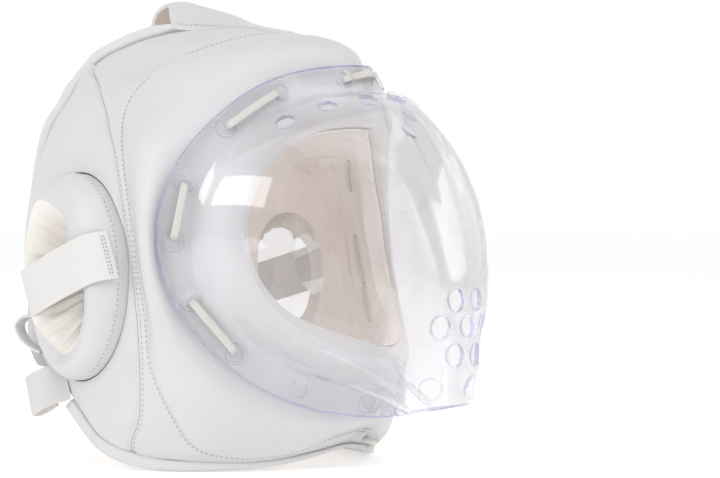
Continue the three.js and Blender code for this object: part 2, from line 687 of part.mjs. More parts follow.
function domeNormal(degrees, f) {
  const around = domePoint(degrees + 1, f).sub(domePoint(degrees - 1, f));
  const inward = domePoint(degrees, f + 0.01).sub(domePoint(degrees, f - 0.01));
  const normal = around.cross(inward).normalize();
  return normal.dot(domePoint(degrees, f).sub(SHIELD_CORE)) < 0 ? normal.negate() : normal;
}

// The shield's sampled section at an angle: outer points with the normal at each of them.
function shieldSection(degrees) {
  const flat = flangeNormal(degrees);
  const fold = flat.clone().add(domeNormal(degrees, 0.02)).normalize();
  const rows = [
    { point: onFlange(degrees, 0), normal: flat },
    { point: onFlange(degrees, flangeWidth(degrees)), normal: fold },
  ];
  SHIELD_STEPS.forEach((f) => rows.push({ point: domePoint(degrees, f), normal: domeNormal(degrees, f) }));
  return rows;
}

function shieldShell() {
  const half = [...Array.from({ length: 18 }, (_, i) => 10 * i), 173, 176.5];
  const angles = [...half, 180, ...half.slice(1).reverse().map((angle) => 360 - angle)];
  const sections = angles.map(shieldSection);
  const rows = SHIELD_STEPS.length + 2;
  const outer = sections.flat().map(({ point }) => point);
  const inner = sections.flat().map(({ point, normal }) => move(point, normal, -SHIELD_WALL));
  const points = [...outer, ...inner, APEX, move(APEX, vec(0, 1, 0), SHIELD_WALL)];
  const innerStart = outer.length;
  const apex = 2 * innerStart;
  const index = [];
  sections.forEach((_, i) => {
    const [a, b] = [i * rows, ((i + 1) % sections.length) * rows];
    for (let k = 0; k < rows - 1; k += 1) {
      index.push(a + k, b + k, b + k + 1, a + k, b + k + 1, a + k + 1);
      index.push(innerStart + a + k, innerStart + b + k + 1, innerStart + b + k);
      index.push(innerStart + a + k, innerStart + a + k + 1, innerStart + b + k + 1);
    }
    index.push(a + rows - 1, b + rows - 1, apex);
    index.push(innerStart + b + rows - 1, innerStart + a + rows - 1, apex + 1);
    index.push(a, innerStart + a, innerStart + b, a, innerStart + b, b);
  });
  return facingOut(points.flatMap((p) => [p.x, p.y, p.z]), index);
}

// A round cutter through a wall at a point, along the wall's normal.
function drill(point, normal, radius) {
  const cutter = new THREE.CylinderGeometry(radius, radius, DRILL.length, DRILL.sides);
  cutter.applyQuaternion(new THREE.Quaternion().setFromUnitVectors(vec(0, 1, 0), normal));
  cutter.translate(point.x, point.y, point.z);
  return cutter;
}

// Everything below the plane of the dome's lower edge.
function chinCutter() {
  const size = 400;
  const block = new THREE.BoxGeometry(size, size, size);
  block.translate(0, 0, -size / 2);
  block.rotateX(-Math.atan(CHIN_CUT.slope));
  block.translate(0, CHIN_CUT.y, CHIN_CUT.z);
  return block;
}

// Where a line from the front at x and z meets a geometry first.
function seenFromFront(geometry, x, z) {
  const target = new THREE.Mesh(geometry);
  const ray = new THREE.Raycaster(vec(x, -1000, z), vec(0, 1, 0));
  return ray.intersectObject(target)[0];
}

function faceShield() {
  const holes = LACE_HOLES.map((degrees) =>
    drill(onFlange(degrees, LACE_HOLE_INSET), flangeNormal(degrees), LACE_HOLE_RADIUS));
  const brow = BROW_VENTS.map(({ degrees, f }) =>
    drill(domePoint(degrees, f), domeNormal(degrees, f), VENT_RADIUS));
  const shell = shieldShell();
  const mouth = MOUTH_VENTS.map(({ x, z }) => {
    const { point, face } = seenFromFront(shell, x, z);
    return drill(point, face.normal, VENT_RADIUS);
  });
  return subtract(shell, chinCutter(), ...holes, ...brow, ...mouth);
}

// ---------------------------------------------------------------- lace
// A flat cord over frames of a point and the normal of the face that it lies on.
function flatCord(frames, width, thickness) {
  const loops = frames.map(({ point, normal }, i) => {
    const ahead = frames[Math.min(i + 1, frames.length - 1)].point;
    const behind = frames[Math.max(i - 1, 0)].point;
    const along = ahead.clone().sub(behind).normalize();
    const face = normal.clone().addScaledVector(along, -along.dot(normal)).normalize();
    const sideways = along.clone().cross(face);
    const corner = (s, n) => move(move(point, sideways, (s * width) / 2), face, (n * thickness) / 2);
    return [corner(-1, 0), corner(-0.6, -1), corner(0.6, -1), corner(1, 0), corner(0.6, 1), corner(-0.6, 1)];
  });
  return loft(loops);
}

// A length of lace over the flange, with both ends turned down through their holes.
function outerLace(from, to) {
  const toward = Math.sign(to - from);
  const stations = [
    { degrees: from - 0.2 * toward, height: -LACE.dip, lean: toward },
    { degrees: from + 0.2 * toward, height: 0.6, lean: toward },
    { degrees: from + 3 * toward, height: LACE.lift, lean: 0 },
    { degrees: (from + to) / 2, height: LACE.lift, lean: 0 },
    { degrees: to - 3 * toward, height: LACE.lift, lean: 0 },
    { degrees: to - 0.2 * toward, height: 0.6, lean: -toward },
    { degrees: to + 0.2 * toward, height: -LACE.dip, lean: -toward },
  ];
  const along = onFlange(to, LACE_HOLE_INSET).sub(onFlange(from, LACE_HOLE_INSET)).normalize();
  return flatCord(stations.map(({ degrees, height, lean }) => {
    const normal = flangeNormal(degrees);
    const face = normal.clone().addScaledVector(along, -2 * toward * lean).normalize();
    return { point: move(onFlange(degrees, LACE_HOLE_INSET), normal, height), normal: face };
  }), LACE.width, LACE.thickness);
}

// Front pad rib at any angle, mixed from its two neighbours.
function ribAt(degrees) {
  const ribs = frontSeam.map((p, i) => ({ angle: ribAngle(p), rib: frontPadRib(p, acrossBand(i)) }));
  const next = ribs.findIndex(({ angle }) => angle >= degrees);
  const [a, b] = [ribs[next - 1], ribs[next]];
  const f = (degrees - a.angle) / (b.angle - a.angle);
  return a.rib.map((p, i) => mix(p, b.rib[i], f));
}

// A length of lace along the inner face of the lining, where it passes between two holes.
function innerLace(from, to, clearance) {
  const centre = vec(0, LINING_CENTRE_Y, AXIS_Z);
  const height = LINING_CLEARANCE + LINING_THICKNESS + LACE.thickness / 2 + clearance;
  const count = 4;
  return flatCord(Array.from({ length: count + 1 }, (_, k) => {
    const [, roll, inside] = ribAt(THREE.MathUtils.lerp(from, to, k / count)).slice(FRONT_PAD_OPENING);
    const at = mix(roll, inside, LACE.innerPlace);
    const inward = centre.clone().sub(at).normalize();
    return { point: move(at, inward, height), normal: inward };
  }), LACE.width, LACE.thickness);
}

// ---------------------------------------------------------------- straps and loops
// A band through points, with its width along a fixed direction.
function band(points, sideways, width, thickness) {
  const loops = points.map((p, i) => {
    const ahead = points[Math.min(i + 1, points.length - 1)];
    const behind = points[Math.max(i - 1, 0)];
    const face = ahead.clone().sub(behind).cross(sideways).normalize();
    const corner = (s, n) => move(move(p, sideways, (s * width) / 2), face, (n * thickness) / 2);
    return [corner(-1, -1), corner(1, -1), corner(1, 1), corner(-1, 1)];
  });
  return loft(loops);
}

// The elastic strap across the ear hole, over both crests of the ring.
function earStrap() {
  const ringPoint = (turn, inset, height) => {
    const base = earPoint(turn, 0);
    return move(base.clone().add(earPoint(turn, -inset).sub(base)), formNormal(base), height);
  };
  const front = Math.asin((EAR_STRAP.frontZ - EAR.z) / EAR.halfHeight);
  const rear = Math.PI + Math.asin((EAR.z - EAR_STRAP.rearZ) / EAR.halfHeight);
  const points = [
    ...EAR_STRAP.overFront.map(({ inset, height }) => ringPoint(front, inset, height)),
    ...EAR_STRAP.overRear.map(({ inset, height }) => ringPoint(rear, inset, height)),
  ];
  return band(points, EAR_STRAP.across, EAR_STRAP.width, STRAP_THICKNESS);
}

function foldedLoop({ path, across, width }) {
  const points = path.map((row) => vec(side * row.x, row.y, row.z));
  return band(smoothLine(points), across, width, STRAP_THICKNESS);
}

// The leather tongue over the crown: a low tent that narrows to a strip and curls down behind.
function crownFlap() {
  return loft(CROWN_FLAP.map(({ y, halfWidth, edgeZ, ridgeZ, tip }) => {
    const arch = (f) => edgeZ + (ridgeZ - edgeZ) * (1 - Math.abs(f) ** FLAP_ARCH);
    const outer = [-1, -0.6, -0.2, 0.2, 0.6, 1].map((f) => vec(f * halfWidth, y, arch(f)));
    const down = vec(0, -Math.sin(radians(tip)), -Math.cos(radians(tip)));
    return [...outer, ...outer.map((p) => move(p, down, STRAP_THICKNESS)).reverse()];
  }));
}

// The knotted end of the lace under the chin.
function chinKnot() {
  const knot = mergeVertices(bareGeometry(new THREE.IcosahedronGeometry(KNOT.radius, 1)), 1e-3);
  knot.scale(1, 0.8, 0.9);
  knot.translate(KNOT.x, KNOT.y, KNOT.z);
  return knot;
}

// ---------------------------------------------------------------- assembly
const helmet = new THREE.Group();

function addPiece(name, geometry, finish) {
  const mesh = new THREE.Mesh(geometry, finish);
  mesh.name = name;
  helmet.add(mesh);
}

function addPair(name, geometry, finish) {
  addPiece(`${name}_right`, geometry, finish);
  addPiece(`${name}_left`, mirrored(geometry), finish);
}

addPiece("front_pad", frontPad(), whiteLeather);
addPair("gusset", loft(bandRibs()), whiteLeather);
addPair("side_panel", subtract(loft(panelRibs()), earPlug(2 * GAP, 30, 40)), whiteLeather);
addPair("ear_ring", earRing(), whiteLeather);
addPair("lining", sideLining(), liningCloth);
addPiece("lining_front", frontLining(), liningCloth);
addPair("edge_binding", edgeBinding(), bindingTape);
addPiece("rim_binding", rimBinding(), bindingTape);
addPiece("face_shield", faceShield(), clearShield);
addPiece("lace_front", outerLace(10, -10), laceCord);
LACE_RUNS.outer.forEach(({ from, to }, i) => addPair(`lace_outer_${i + 1}`, outerLace(from, to), laceCord));
LACE_RUNS.inner.forEach(({ from, to, clearance }, i) =>
  addPair(`lace_inner_${i + 1}`, innerLace(from, to, clearance), laceCord));
addPair("ear_strap", earStrap(), elasticWeb);
addPair("rear_loop", foldedLoop(REAR_LOOP), elasticWeb);
addPair("nape_loop", foldedLoop(NAPE_LOOP), whiteLeather);
addPiece("crown_flap", crownFlap(), whiteLeather);
addPiece("chin_knot", chinKnot(), laceCord);

// The origin is below the middle of the helmet, at the height that it stands on.
const middle = new THREE.Box3().setFromObject(helmet).getCenter(vec(0, 0, 0));
helmet.position.set(0, -middle.y, 0);

export default helmet;
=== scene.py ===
"""Padded head guard with a clear bubble face shield, laid out as a Blender add-on.

Sizes in the tables are millimetres in the maker's drawing, where the wearer faces -Y,
the wearer's right is -X and the neck rim stands on Z = 0. drawn() turns them to metres
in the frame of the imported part.
"""

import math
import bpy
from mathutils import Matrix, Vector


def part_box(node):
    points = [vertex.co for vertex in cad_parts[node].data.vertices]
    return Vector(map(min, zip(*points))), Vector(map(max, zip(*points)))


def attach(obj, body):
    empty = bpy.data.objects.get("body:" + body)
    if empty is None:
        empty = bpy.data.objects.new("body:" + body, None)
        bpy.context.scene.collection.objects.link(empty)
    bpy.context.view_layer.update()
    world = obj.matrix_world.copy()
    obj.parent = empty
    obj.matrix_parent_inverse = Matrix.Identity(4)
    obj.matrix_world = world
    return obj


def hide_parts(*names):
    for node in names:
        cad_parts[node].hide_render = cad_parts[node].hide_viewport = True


bl_info = {
    "name": "Head Guard with Bubble Shield",
    "version": (1, 0, 0),
    "blender": (4, 5, 0),
    "location": "3D View > Sidebar > Head Guard",
    "description": "Builds a padded leather head guard with a laced-on clear bubble face shield",
    "category": "Add Mesh",
}

import bpy
import numpy as np
from bpy.props import FloatProperty, FloatVectorProperty, PointerProperty
from mathutils import Matrix, Vector
from mathutils.bvhtree import BVHTree

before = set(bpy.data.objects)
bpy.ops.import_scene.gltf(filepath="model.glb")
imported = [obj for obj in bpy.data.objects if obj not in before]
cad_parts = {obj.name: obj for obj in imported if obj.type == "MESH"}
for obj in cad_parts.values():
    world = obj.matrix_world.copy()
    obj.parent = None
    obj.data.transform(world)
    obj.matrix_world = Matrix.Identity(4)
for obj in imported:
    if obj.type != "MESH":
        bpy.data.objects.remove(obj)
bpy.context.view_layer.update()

MM = 0.001

# ---- the drawing
GAP = 0.3
FORM_SIZE = np.array([104.0, 116.0])
FORM_RISE, FORM_DROP = 134.0, 200.0
FORM_CENTRE = np.array([0.0, 0.0, 110.0])
FORM_POWER = 2.1
AXIS_Z = 112.0
SEAM_THICKNESS, EDGE_THICKNESS, SEAM_ROLL, SEAM_ROLL_SPREAD = 13.0, 5.0, 1.1, 1.9
BAND_RIB = {"count": 8, "puff": -0.6, "power": 1}  # points, crown, and how late the thickness changes
PANEL_RIB = {"count": 18, "puff": 2.5, "power": 3}
EDGE_SPACING, EDGE_SHARE = np.array([0.6, 1.4, 2.6, 4.4]), 0.3
PAD_CREASE = 1.1
BINDING_WIDTH, BINDING_THICKNESS, EDGE_TAPE_THICKNESS = 7.4, 7.2, 5.8
EDGE_TAPE_FLARE = math.radians(40)
SHIELD_WALL = 2.4
SHIELD_FRONT = np.array([0.0, -157.0, 84.0])
CHIN_CUT_POINT, CHIN_CUT_SLOPE = (0, -107, 26.5), math.atan(0.2)
FLANGE_CLEARANCE, FLANGE_WIDTH, CHIN_FLANGE_WIDTH = 1.4, 17.5, 3
FLANGE_HALF = np.array([101.0, 94.3])
FLANGE_Z, FLANGE_POWER = 121.6, 2.27
LACE_HOLE_RADIUS, LACE_HOLE_INSET = 4.3, 8.6
LACE_HOLES = [10 + 20 * i for i in range(18)]
VENT_RADIUS, BROW_VENT_RADIUS, DRILL_DEPTH = 6.2, 5.2, 16
LINING_THICKNESS, LINING_CLEARANCE, FRONT_LINING_FOLD = 1.6, 0.9, 0.45
LINING_CENTRE = np.array([0.0, 20.0, AXIS_Z])

# Face opening: angle from the top, radius round the axis, depth.
OPENING = np.array([
    (0, 70.4, -94.6), (22.5, 72.5, -79.2), (45, 71.6, -67.6), (67.5, 69.5, -62.7), (90, 66.3, -65.1),
    (112.5, 61.2, -76.2), (135, 52.1, -91.8), (157.5, 47.7, -105.3), (180, 47.1, -110.8),
])

# Outer edge of the flange: angle from the top, depth, lean in degrees.
FLANGE_EDGE = np.array([
    (0, -90.4, 32), (22.5, -70.8, 38), (45, -53.2, 44), (67.5, -35.3, 46), (90, -29.2, 46),
    (112.5, -39.4, 42), (135, -61.6, 36), (157.5, -86.5, 28), (180, -108.4, 16),
])

# The gusset band from crown to chin: front seam x, y, z, then rear line x, y, z.
BAND = np.array([
    (9, -46, 234, 10, -40, 236), (27, -41, 233, 24, -20, 238), (52, -24, 225, 36, 10, 236),
    (67, -8, 216, 43, 34, 230), (78, 3, 201, 50, 55, 219), (86, 4, 189, 71, 35, 205),
    (92, 1, 177, 86, 18, 187), (97, -4, 162, 95, 5, 168), (102, -13, 135, 102, -6, 139),
    (103, -19, 107, 103.5, -13, 109), (101, -23, 81, 102, -16, 81), (99, -25, 56, 99.5, -16, 54),
    (93, -34, 31, 96, -13, 29), (83, -41, 14, 92, -5, 10), (69, -52, 8, 84, -25, 6.5),
    (54, -64, 7.5, 65, -51, 4.2), (38, -76, 10.5, 45, -66, 5.2), (20, -85, 17, 23, -76, 8.5),
    (0, -89, 20.5, 0, -80, 11.5),
])
SEAM_ROW, RIM_ROW = 4, 13  # rows where the rear line becomes the panel seam, then the neck rim
RIM_TAPE = [7.5, 6.4, 4.2, 3.7, 3.3, 2.3]  # tape width at each rim row

# Rear edge of the side panel, a row for each seam row of the band and the first rim row.
PANEL_EDGE = np.array([
    (52, 60, 215), (55, 70, 198), (57, 80, 184), (50, 94, 162), (46, 102, 138),
    (46, 104, 114), (52, 97, 88), (70, 78, 62), (91, 42, 43), (93, 22, 23),
])

# Soft dents: centre on the right side, spread along x, y and z, depth.
DENTS = [((-62, 4, 214), (9, 18, 11), 5.2), ((-42, -14, 232), (6, 9, 12), 1.8),
         ((-84, 22, 188), (6, 10, 10), 1.6)]

# Ear ring: its outer seam, and the section as (inset, height) at the front, the ends and the rear, then how
# far each point slides in where the lip has slumped, spreads behind in the open ring, and closes up in front.
EAR_Y, EAR_Z, EAR_HALF_DEPTH, EAR_HALF_HEIGHT, EAR_RAKE = 25.0, 102.0, 37.0, 55.0, 7.0
EAR_SECTION = [
    ((0, 0), (0, 0), (0, 0), 0, 0, 0),
    ((3, 8), (2.5, 8), (0.5, 5), 0, 0, 0),
    ((12, 14.5), (9, 13), (4, 9), 8, 0, 0),
    ((20, 11), (16, 8.5), (10, 7), 16, 1.5, 0.7),
    ((22.5, 3), (23, 0), (18, 1), 17, 8, 1),
    ((15, -7), (26, -6.5), (33, -6), 17, 21.5, 1),
    ((8, -8.5), (16, -7.5), (19, -7), 8, 13.5, 0.6),
    ((0.5, -8), (1, -7), (1, -5), 0, 0, 0),
]
EAR_LIP, LIP_DROP = 3, 2.0
EAR_TURNS, EAR_SAMPLES, EAR_CLOTH_ROWS = 168, 5, (3, 6)
SLUMP_PEAK, CLOTH_PEAK = math.radians(60), math.radians(165)

# Vents of the brow as an angle from the top and a share of the way in, and of the mouth as x and z.
BROW_VENTS = [(0, 0.135), (14, 0.16), (28, 0.14), (42, 0.1), (-14, 0.16), (-28, 0.14), (-42, 0.1)]
MOUTH_VENTS = [(-10, 91), (10, 91), (-20, 77), (0, 77), (20, 77), (-10, 62), (10, 62), (-22, 44), (22, 44)]

# Ear strap: place on the ring as an inset and a height, in front and behind.
STRAP_FRONT_Z, STRAP_REAR_Z, STRAP_WIDTH = 115.0, 92.0, 26.0
STRAP_STEPS = 8
STRAP_FRONT = [(2.6, 8.8), (4.6, 11.6), (8, 14.6), (12.5, 16.6)]
STRAP_REAR = [(7, 10.4), (3.6, 8.6), (0.9, 6.2), (0.2, 4.2)]
STRAP_ACROSS = np.array([0, 0.33, 1]) / math.hypot(0.33, 1)
REAR_LOOP = np.array([(94.5, 56.5, 80.5), (94.5, 65.5, 80), (94.5, 71, 75.5), (94.5, 68.5, 69), (94.5, 61.5, 64),
                      (94.5, 53.5, 61)])
REAR_LOOP_WIDTH = 8
NAPE_LOOP = np.array([(94.4, 37, 46.5), (100.4, 43, 44.1), (103.6, 50.5, 40.5), (100.6, 58, 37.1),
                      (93.2, 59.5, 36.5), (91.5, 54, 39.1), (93.7, 47, 42.5)])
NAPE_WIDTH = 21.0
NAPE_ACROSS = np.array([0, 0.25, 1]) / math.hypot(0.25, 1)

# Crown tongue from front to rear: y, half width, edge height, ridge height, tilt in degrees.
CROWN_FLAP = np.array([
    (-48, 10, 230.8, 231.3, 0), (-45.5, 11.5, 232.8, 233.3, 0), (-42, 13, 234.7, 235.3, 0),
    (-37, 15.5, 236.1, 236.8, 0), (-30, 19.5, 237.2, 238.4, 0), (-23, 23.5, 237.9, 239.7, 0),
    (-16, 27.5, 238.1, 241.4, 0), (-8, 31, 238, 243.8, 0), (0, 34.5, 238.2, 247.4, 0),
    (10, 36.5, 239.4, 250.4, 0), (20, 28, 244.6, 253, 5), (32, 15, 253, 256, 20),
    (40, 14, 250.5, 253, 55), (44, 14, 244, 246, 75), (45, 14, 237, 238.5, 85),
])
TONGUE_THICKNESS, TONGUE_POWER, TONGUE_STEPS = 2.0, 1.7, 6

# Rows of stitches: how far each lies from its seam or edge, and the tongue's points that lie free of the pad.
SEAM_INSET, PANEL_INSET, RING_INSET, TONGUE_INSETS, STRAP_PLACES = 2.0, 2.4, 6.2, (2.0, 3.8), (6, 9)
TONGUE_FREE = slice(21, 56)

# Lace runs between two angles from the top, the inner ones with how far in they lie at some angles.
OUTER_LACES = [(130, 110), (90, 70), (50, 30)]
INNER_LACES = [(82, 101), (46, 62), (12, 30), (102, 119)]
INNER_LACE_ANGLES, INNER_LACE_SHARES = [30, 46, 62, 82, 101, 119], [0.5, 0.3, 0.6, 1.0, 0.85, 0.6]
INNER_LACE_WIDTH, INNER_LACE_THICKNESS, OUTER_LACE_THICKNESS = 2.2, 1.5, 1.9

# Camera: heading and height round its aim, distance and the aim's height in metres, and where the aim lies in
# the view, as slopes.
CAMERA_HEADING, CAMERA_HEIGHT, CAMERA_DISTANCE, AIM_HEIGHT = math.radians(-53), math.radians(2), 1.4, 0.083
AIM_SLOPES = (-0.052412, 0.027864)
LENS, SENSOR = 125, 36


def drawn(points):
    """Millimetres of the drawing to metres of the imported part's frame."""
    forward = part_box("face_shield")[0].y - SHIELD_FRONT[1] * MM
    return np.asarray(points, float) * MM + np.array([0.0, forward, 0.0])


# ---- sizes and colours to change
class HeadGuardSizes(bpy.types.PropertyGroup):
    seam_roll: FloatProperty(
        name="Seam roll", description="How far the leather is drawn in along a seam, in millimetres",
        default=SEAM_ROLL, min=0, max=3)
    stitch_pitch: FloatProperty(
        name="Stitch pitch", description="Distance from one stitch to the next", default=0.0028, unit="LENGTH")
    thread_radius: FloatProperty(
        name="Thread radius", description="Radius of the sewing thread", default=0.00028, unit="LENGTH")
    pleat_depth: FloatProperty(
        name="Pleat depth", description="Depth of the gathers in the ear ring's throat, in millimetres",
        default=1.0, min=0, max=3)
    lining_fold: FloatProperty(
        name="Lining fold", description="Depth of the soft folds in the lining, in millimetres", default=1.2,
        min=0, max=4)
    lace_width: FloatProperty(
        name="Lace width", description="Width of the flat lace, in millimetres", default=4.2, min=1, max=8)


class HeadGuardColours(bpy.types.PropertyGroup):
    leather: FloatVectorProperty(
        name="Leather", description="Colour of the leather shell", subtype="COLOR", default=(0.61, 0.605, 0.613))
    tape: FloatVectorProperty(
        name="Tape", description="Colour of the binding tape", subtype="COLOR", default=(0.65, 0.642, 0.642))
    # the lining is cream cloth; part of its beige tint is painted warm shade from light bounced round inside the
    # helmet
    lining: FloatVectorProperty(
        name="Lining", description="Colour of the lining cloth", subtype="COLOR", default=(0.84, 0.772, 0.722))
    ear_cloth: FloatVectorProperty(
        name="Ear cloth", description="Colour of the gathered cloth in the ear rings", subtype="COLOR",
        default=(0.78, 0.748, 0.715))
    elastic: FloatVectorProperty(
        name="Elastic", description="Colour of the elastic webbing", subtype="COLOR", default=(0.67, 0.657, 0.65))
    lace: FloatVectorProperty(
        name="Lace", description="Colour of the lace", subtype="COLOR", default=(0.74, 0.732, 0.72))
    shield: FloatVectorProperty(
        name="Shield", description="Tint of the clear shield", subtype="COLOR", default=(0.985, 0.98, 1.0))
    # the violet of the cut edges is painted glow of light gathered in the plastic's edges
    shield_edge: FloatVectorProperty(
        name="Shield edge", description="Tint of the shield's cut edges", subtype="COLOR",
        default=(0.5, 0.47, 0.78))


class HeadGuardStudio(bpy.types.PropertyGroup):
    key: FloatProperty(name="Key light", description="Power of the side softbox", default=15.0, unit="POWER")
    fill: FloatProperty(name="Fill light", description="Power of the front softbox", default=5.0, unit="POWER")
    overhead: FloatProperty(
        name="Overhead light", description="Power of the overhead softbox", default=9.6, unit="POWER")
    face: FloatProperty(
        name="Face light", description="Power of the softbox that looks in at the lining", default=3.9,
        unit="POWER")
    ambient: FloatProperty(
        name="Ambient", description="Strength of the pale surroundings", default=1.0, min=0, max=3)


# ---- curves and the shell's form
def unit(v):
    return v / max(np.linalg.norm(v), 1e-12)


def along_at(points, i):
    """Direction of a line of points at one of them, not of unit length."""
    return points[min(i + 1, len(points) - 1)] - points[max(i - 1, 0)]


def run_along(line):
    """Distance along a line at each of its points."""
    return np.concatenate([[0], np.cumsum(np.linalg.norm(np.diff(line, axis=0), axis=1))])


def smooth_line(points, steps, closed=False):
    """Centripetal spline through points, with steps samples for each interval."""
    p = np.asarray(points, float)
    before, after = (p[-1:], p[:2]) if closed else (2 * p[:1] - p[1:2], 2 * p[-1:] - p[-2:-1])
    p = np.vstack([before, p, after])
    samples = []
    for q in zip(p, p[1:], p[2:], p[3:]):
        t = np.cumsum([0.0] + [max(np.linalg.norm(b - a), 1e-6) ** 0.5 for a, b in zip(q, q[1:])])
        for at in t[1] + (t[2] - t[1]) * np.arange(steps) / steps:
            level = q
            for first, last in (((0, 1, 2), (1, 2, 3)), ((0, 1), (2, 3)), ((1,), (2,))):
                level = [((t[b] - at) * level[j] + (at - t[a]) * level[j + 1]) / (t[b] - t[a])
                         for j, (a, b) in enumerate(zip(first, last))]
            samples.append(level[0])
    return np.array(samples if closed else samples + [p[-2]])


def table_value(table, column, degrees):
    """Smooth value between the rows of a table of angles from 0 to 180 degrees, even at both ends."""
    angle = abs((degrees + 540) % 360 - 180)
    step, last = table[1, 0] - table[0, 0], len(table) - 1
    k = min(int(angle // step), last - 1)
    a, b, c, d = (table[-i if i < 0 else 2 * last - i if i > last else i, column] for i in range(k - 1, k + 3))
    f = angle / step - k
    return b + 0.5 * f * (c - a + f * (2 * a - 5 * b + 4 * c - d + f * (3 * (b - c) + d - a)))


def form_sizes(p):
    rise = np.where(p[..., 2] > FORM_CENTRE[2], FORM_RISE, FORM_DROP)
    return np.stack([np.full_like(rise, FORM_SIZE[0]), np.full_like(rise, FORM_SIZE[1]), rise], -1)


def on_form(p):
    """The point of the shell's form in the direction of p from its centre."""
    p = np.asarray(p, float)
    level = (np.abs((p - FORM_CENTRE) / form_sizes(p)) ** FORM_POWER).sum(-1)
    return FORM_CENTRE + (p - FORM_CENTRE) * (level ** (-1 / FORM_POWER))[..., None]


def form_normal(p):
    p = np.asarray(p, float)
    size = form_sizes(p)
    d = p - FORM_CENTRE
    slope = np.sign(d) * np.abs(d / size) ** (FORM_POWER - 1) / size
    return slope / np.linalg.norm(slope, axis=-1, keepdims=True)


# ---- shared seams, on the right side
SEAM_STEPS = 6
RIGHT = np.array([-1.0, 1.0, 1.0])
front_seam = smooth_line(BAND[:, :3] * RIGHT, SEAM_STEPS)
rear_line = smooth_line(BAND[:, 3:] * RIGHT, SEAM_STEPS)
panel_edge = smooth_line(PANEL_EDGE * RIGHT, SEAM_STEPS)
SEAM_START, SEAM_END = SEAM_ROW * SEAM_STEPS, RIM_ROW * SEAM_STEPS


def mirror_rows(rows):
    return np.asarray(rows) * np.array([-1.0, 1.0, 1.0])


def on_both_sides(rows):
    return ("right", rows), ("left", mirror_rows(rows))


def across_band(i):
    return unit(rear_line[i] - front_seam[i])


def flange_edge_point(degrees):
    c, s = math.cos(math.radians(degrees)), math.sin(math.radians(degrees))
    k = (abs(c) ** FLANGE_POWER + abs(s) ** FLANGE_POWER) ** (-1 / FLANGE_POWER)
    x, z = FLANGE_HALF * (-s * k, c * k)
    return np.array([x, table_value(FLANGE_EDGE, 1, degrees), FLANGE_Z + z])


def flange_inward(degrees):
    edge = flange_edge_point(degrees)
    lean = math.radians(table_value(FLANGE_EDGE, 2, degrees))
    inward = unit(np.array([-edge[0], 0.0, FLANGE_Z - edge[2]]))
    return np.array([inward[0] * math.cos(lean), -math.sin(lean), inward[2] * math.cos(lean)])


def flange_normal(degrees):
    along = flange_edge_point(degrees + 2) - flange_edge_point(degrees - 2)
    normal = unit(np.cross(unit(along), flange_inward(degrees)))
    return -normal if normal[1] > 0 else normal


def on_flange(degrees, inset):
    return flange_edge_point(degrees) + flange_inward(degrees) * inset


def opening_point(degrees):
    radius, t = table_value(OPENING, 1, degrees), math.radians(degrees)
    return np.array([-radius * math.sin(t), table_value(OPENING, 2, degrees), AXIS_Z + radius * math.cos(t)])


# ---- making pieces
def select_only(*objects):
    for o in bpy.context.selected_objects:
        o.select_set(False)
    for o in objects:
        o.select_set(True)
        bpy.context.view_layer.objects.active = objects[0]


def apply_modifier(obj, kind, **settings):
    modifier = obj.modifiers.new(kind.title(), kind)
    for key, value in settings.items():
        setattr(modifier, key, value)
    select_only(obj)
    bpy.ops.object.modifier_apply(modifier=modifier.name)


def cut_by(obj, cutter, **settings):
    apply_modifier(obj, "BOOLEAN", object=cutter, operation="DIFFERENCE", solver="EXACT", **settings)
    bpy.data.objects.remove(cutter)


def edit(obj, *steps):
    """Runs edit-mode operators on the whole of obj."""
    select_only(obj)
    bpy.ops.object.mode_set(mode="EDIT")
    bpy.ops.mesh.select_all(action="SELECT")
    for operator, settings in steps:
        operator(**settings)
    bpy.ops.object.mode_set(mode="OBJECT")


FACE_OUT = (bpy.ops.mesh.normals_make_consistent, {"inside": False})


def new_object(name, points, faces, looks, face_looks=None, uvs=None):
    """A mesh object from points in metres. face_looks gives each face's place in looks."""
    mesh = bpy.data.meshes.new(name)
    mesh.from_pydata([tuple(p) for p in points], [], faces)
    mesh.polygons.foreach_set("use_smooth", [True] * len(mesh.polygons))
    if face_looks is not None:
        mesh.polygons.foreach_set("material_index", list(face_looks))
    if uvs is not None:
        mesh.uv_layers.new(name="weave").data.foreach_set("uv", np.asarray(uvs, np.float32).ravel())
    mesh.validate()
    mesh.update()
    obj = bpy.data.objects.new(name, mesh)
    bpy.context.scene.collection.objects.link(obj)
    for look in looks:
        mesh.materials.append(finishes[look])
    return obj


def finish_piece(obj, slot, *nodes, angle=None, fill=None, cut=None):
    """Rides on the body and stands for its CAD nodes, whose parts it hides. slot is not used. cut, which says what
    a sheet was cut to, is not used.
    """
    select_only(obj)
    if angle:
        bpy.ops.object.shade_smooth_by_angle(angle=math.radians(angle), keep_sharp_edges=True)
    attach(obj, "root")
    if nodes:
        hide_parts(*nodes)
    return obj


def joined(pieces, name, look=None):
    """Joins pieces into one. With a look, it also takes them out of their own places and makes them smooth."""
    select_only(*pieces)
    bpy.ops.object.join()
    whole = pieces[0]
    whole.name = name
    if look:
        bpy.ops.object.transform_apply(location=True, rotation=True, scale=True)
        whole.data.polygons.foreach_set("use_smooth", [True] * len(whole.data.polygons))
        whole.data.materials.clear()
        whole.data.materials.append(finishes[look])
    return whole


def first_look(i, k):
    return 0


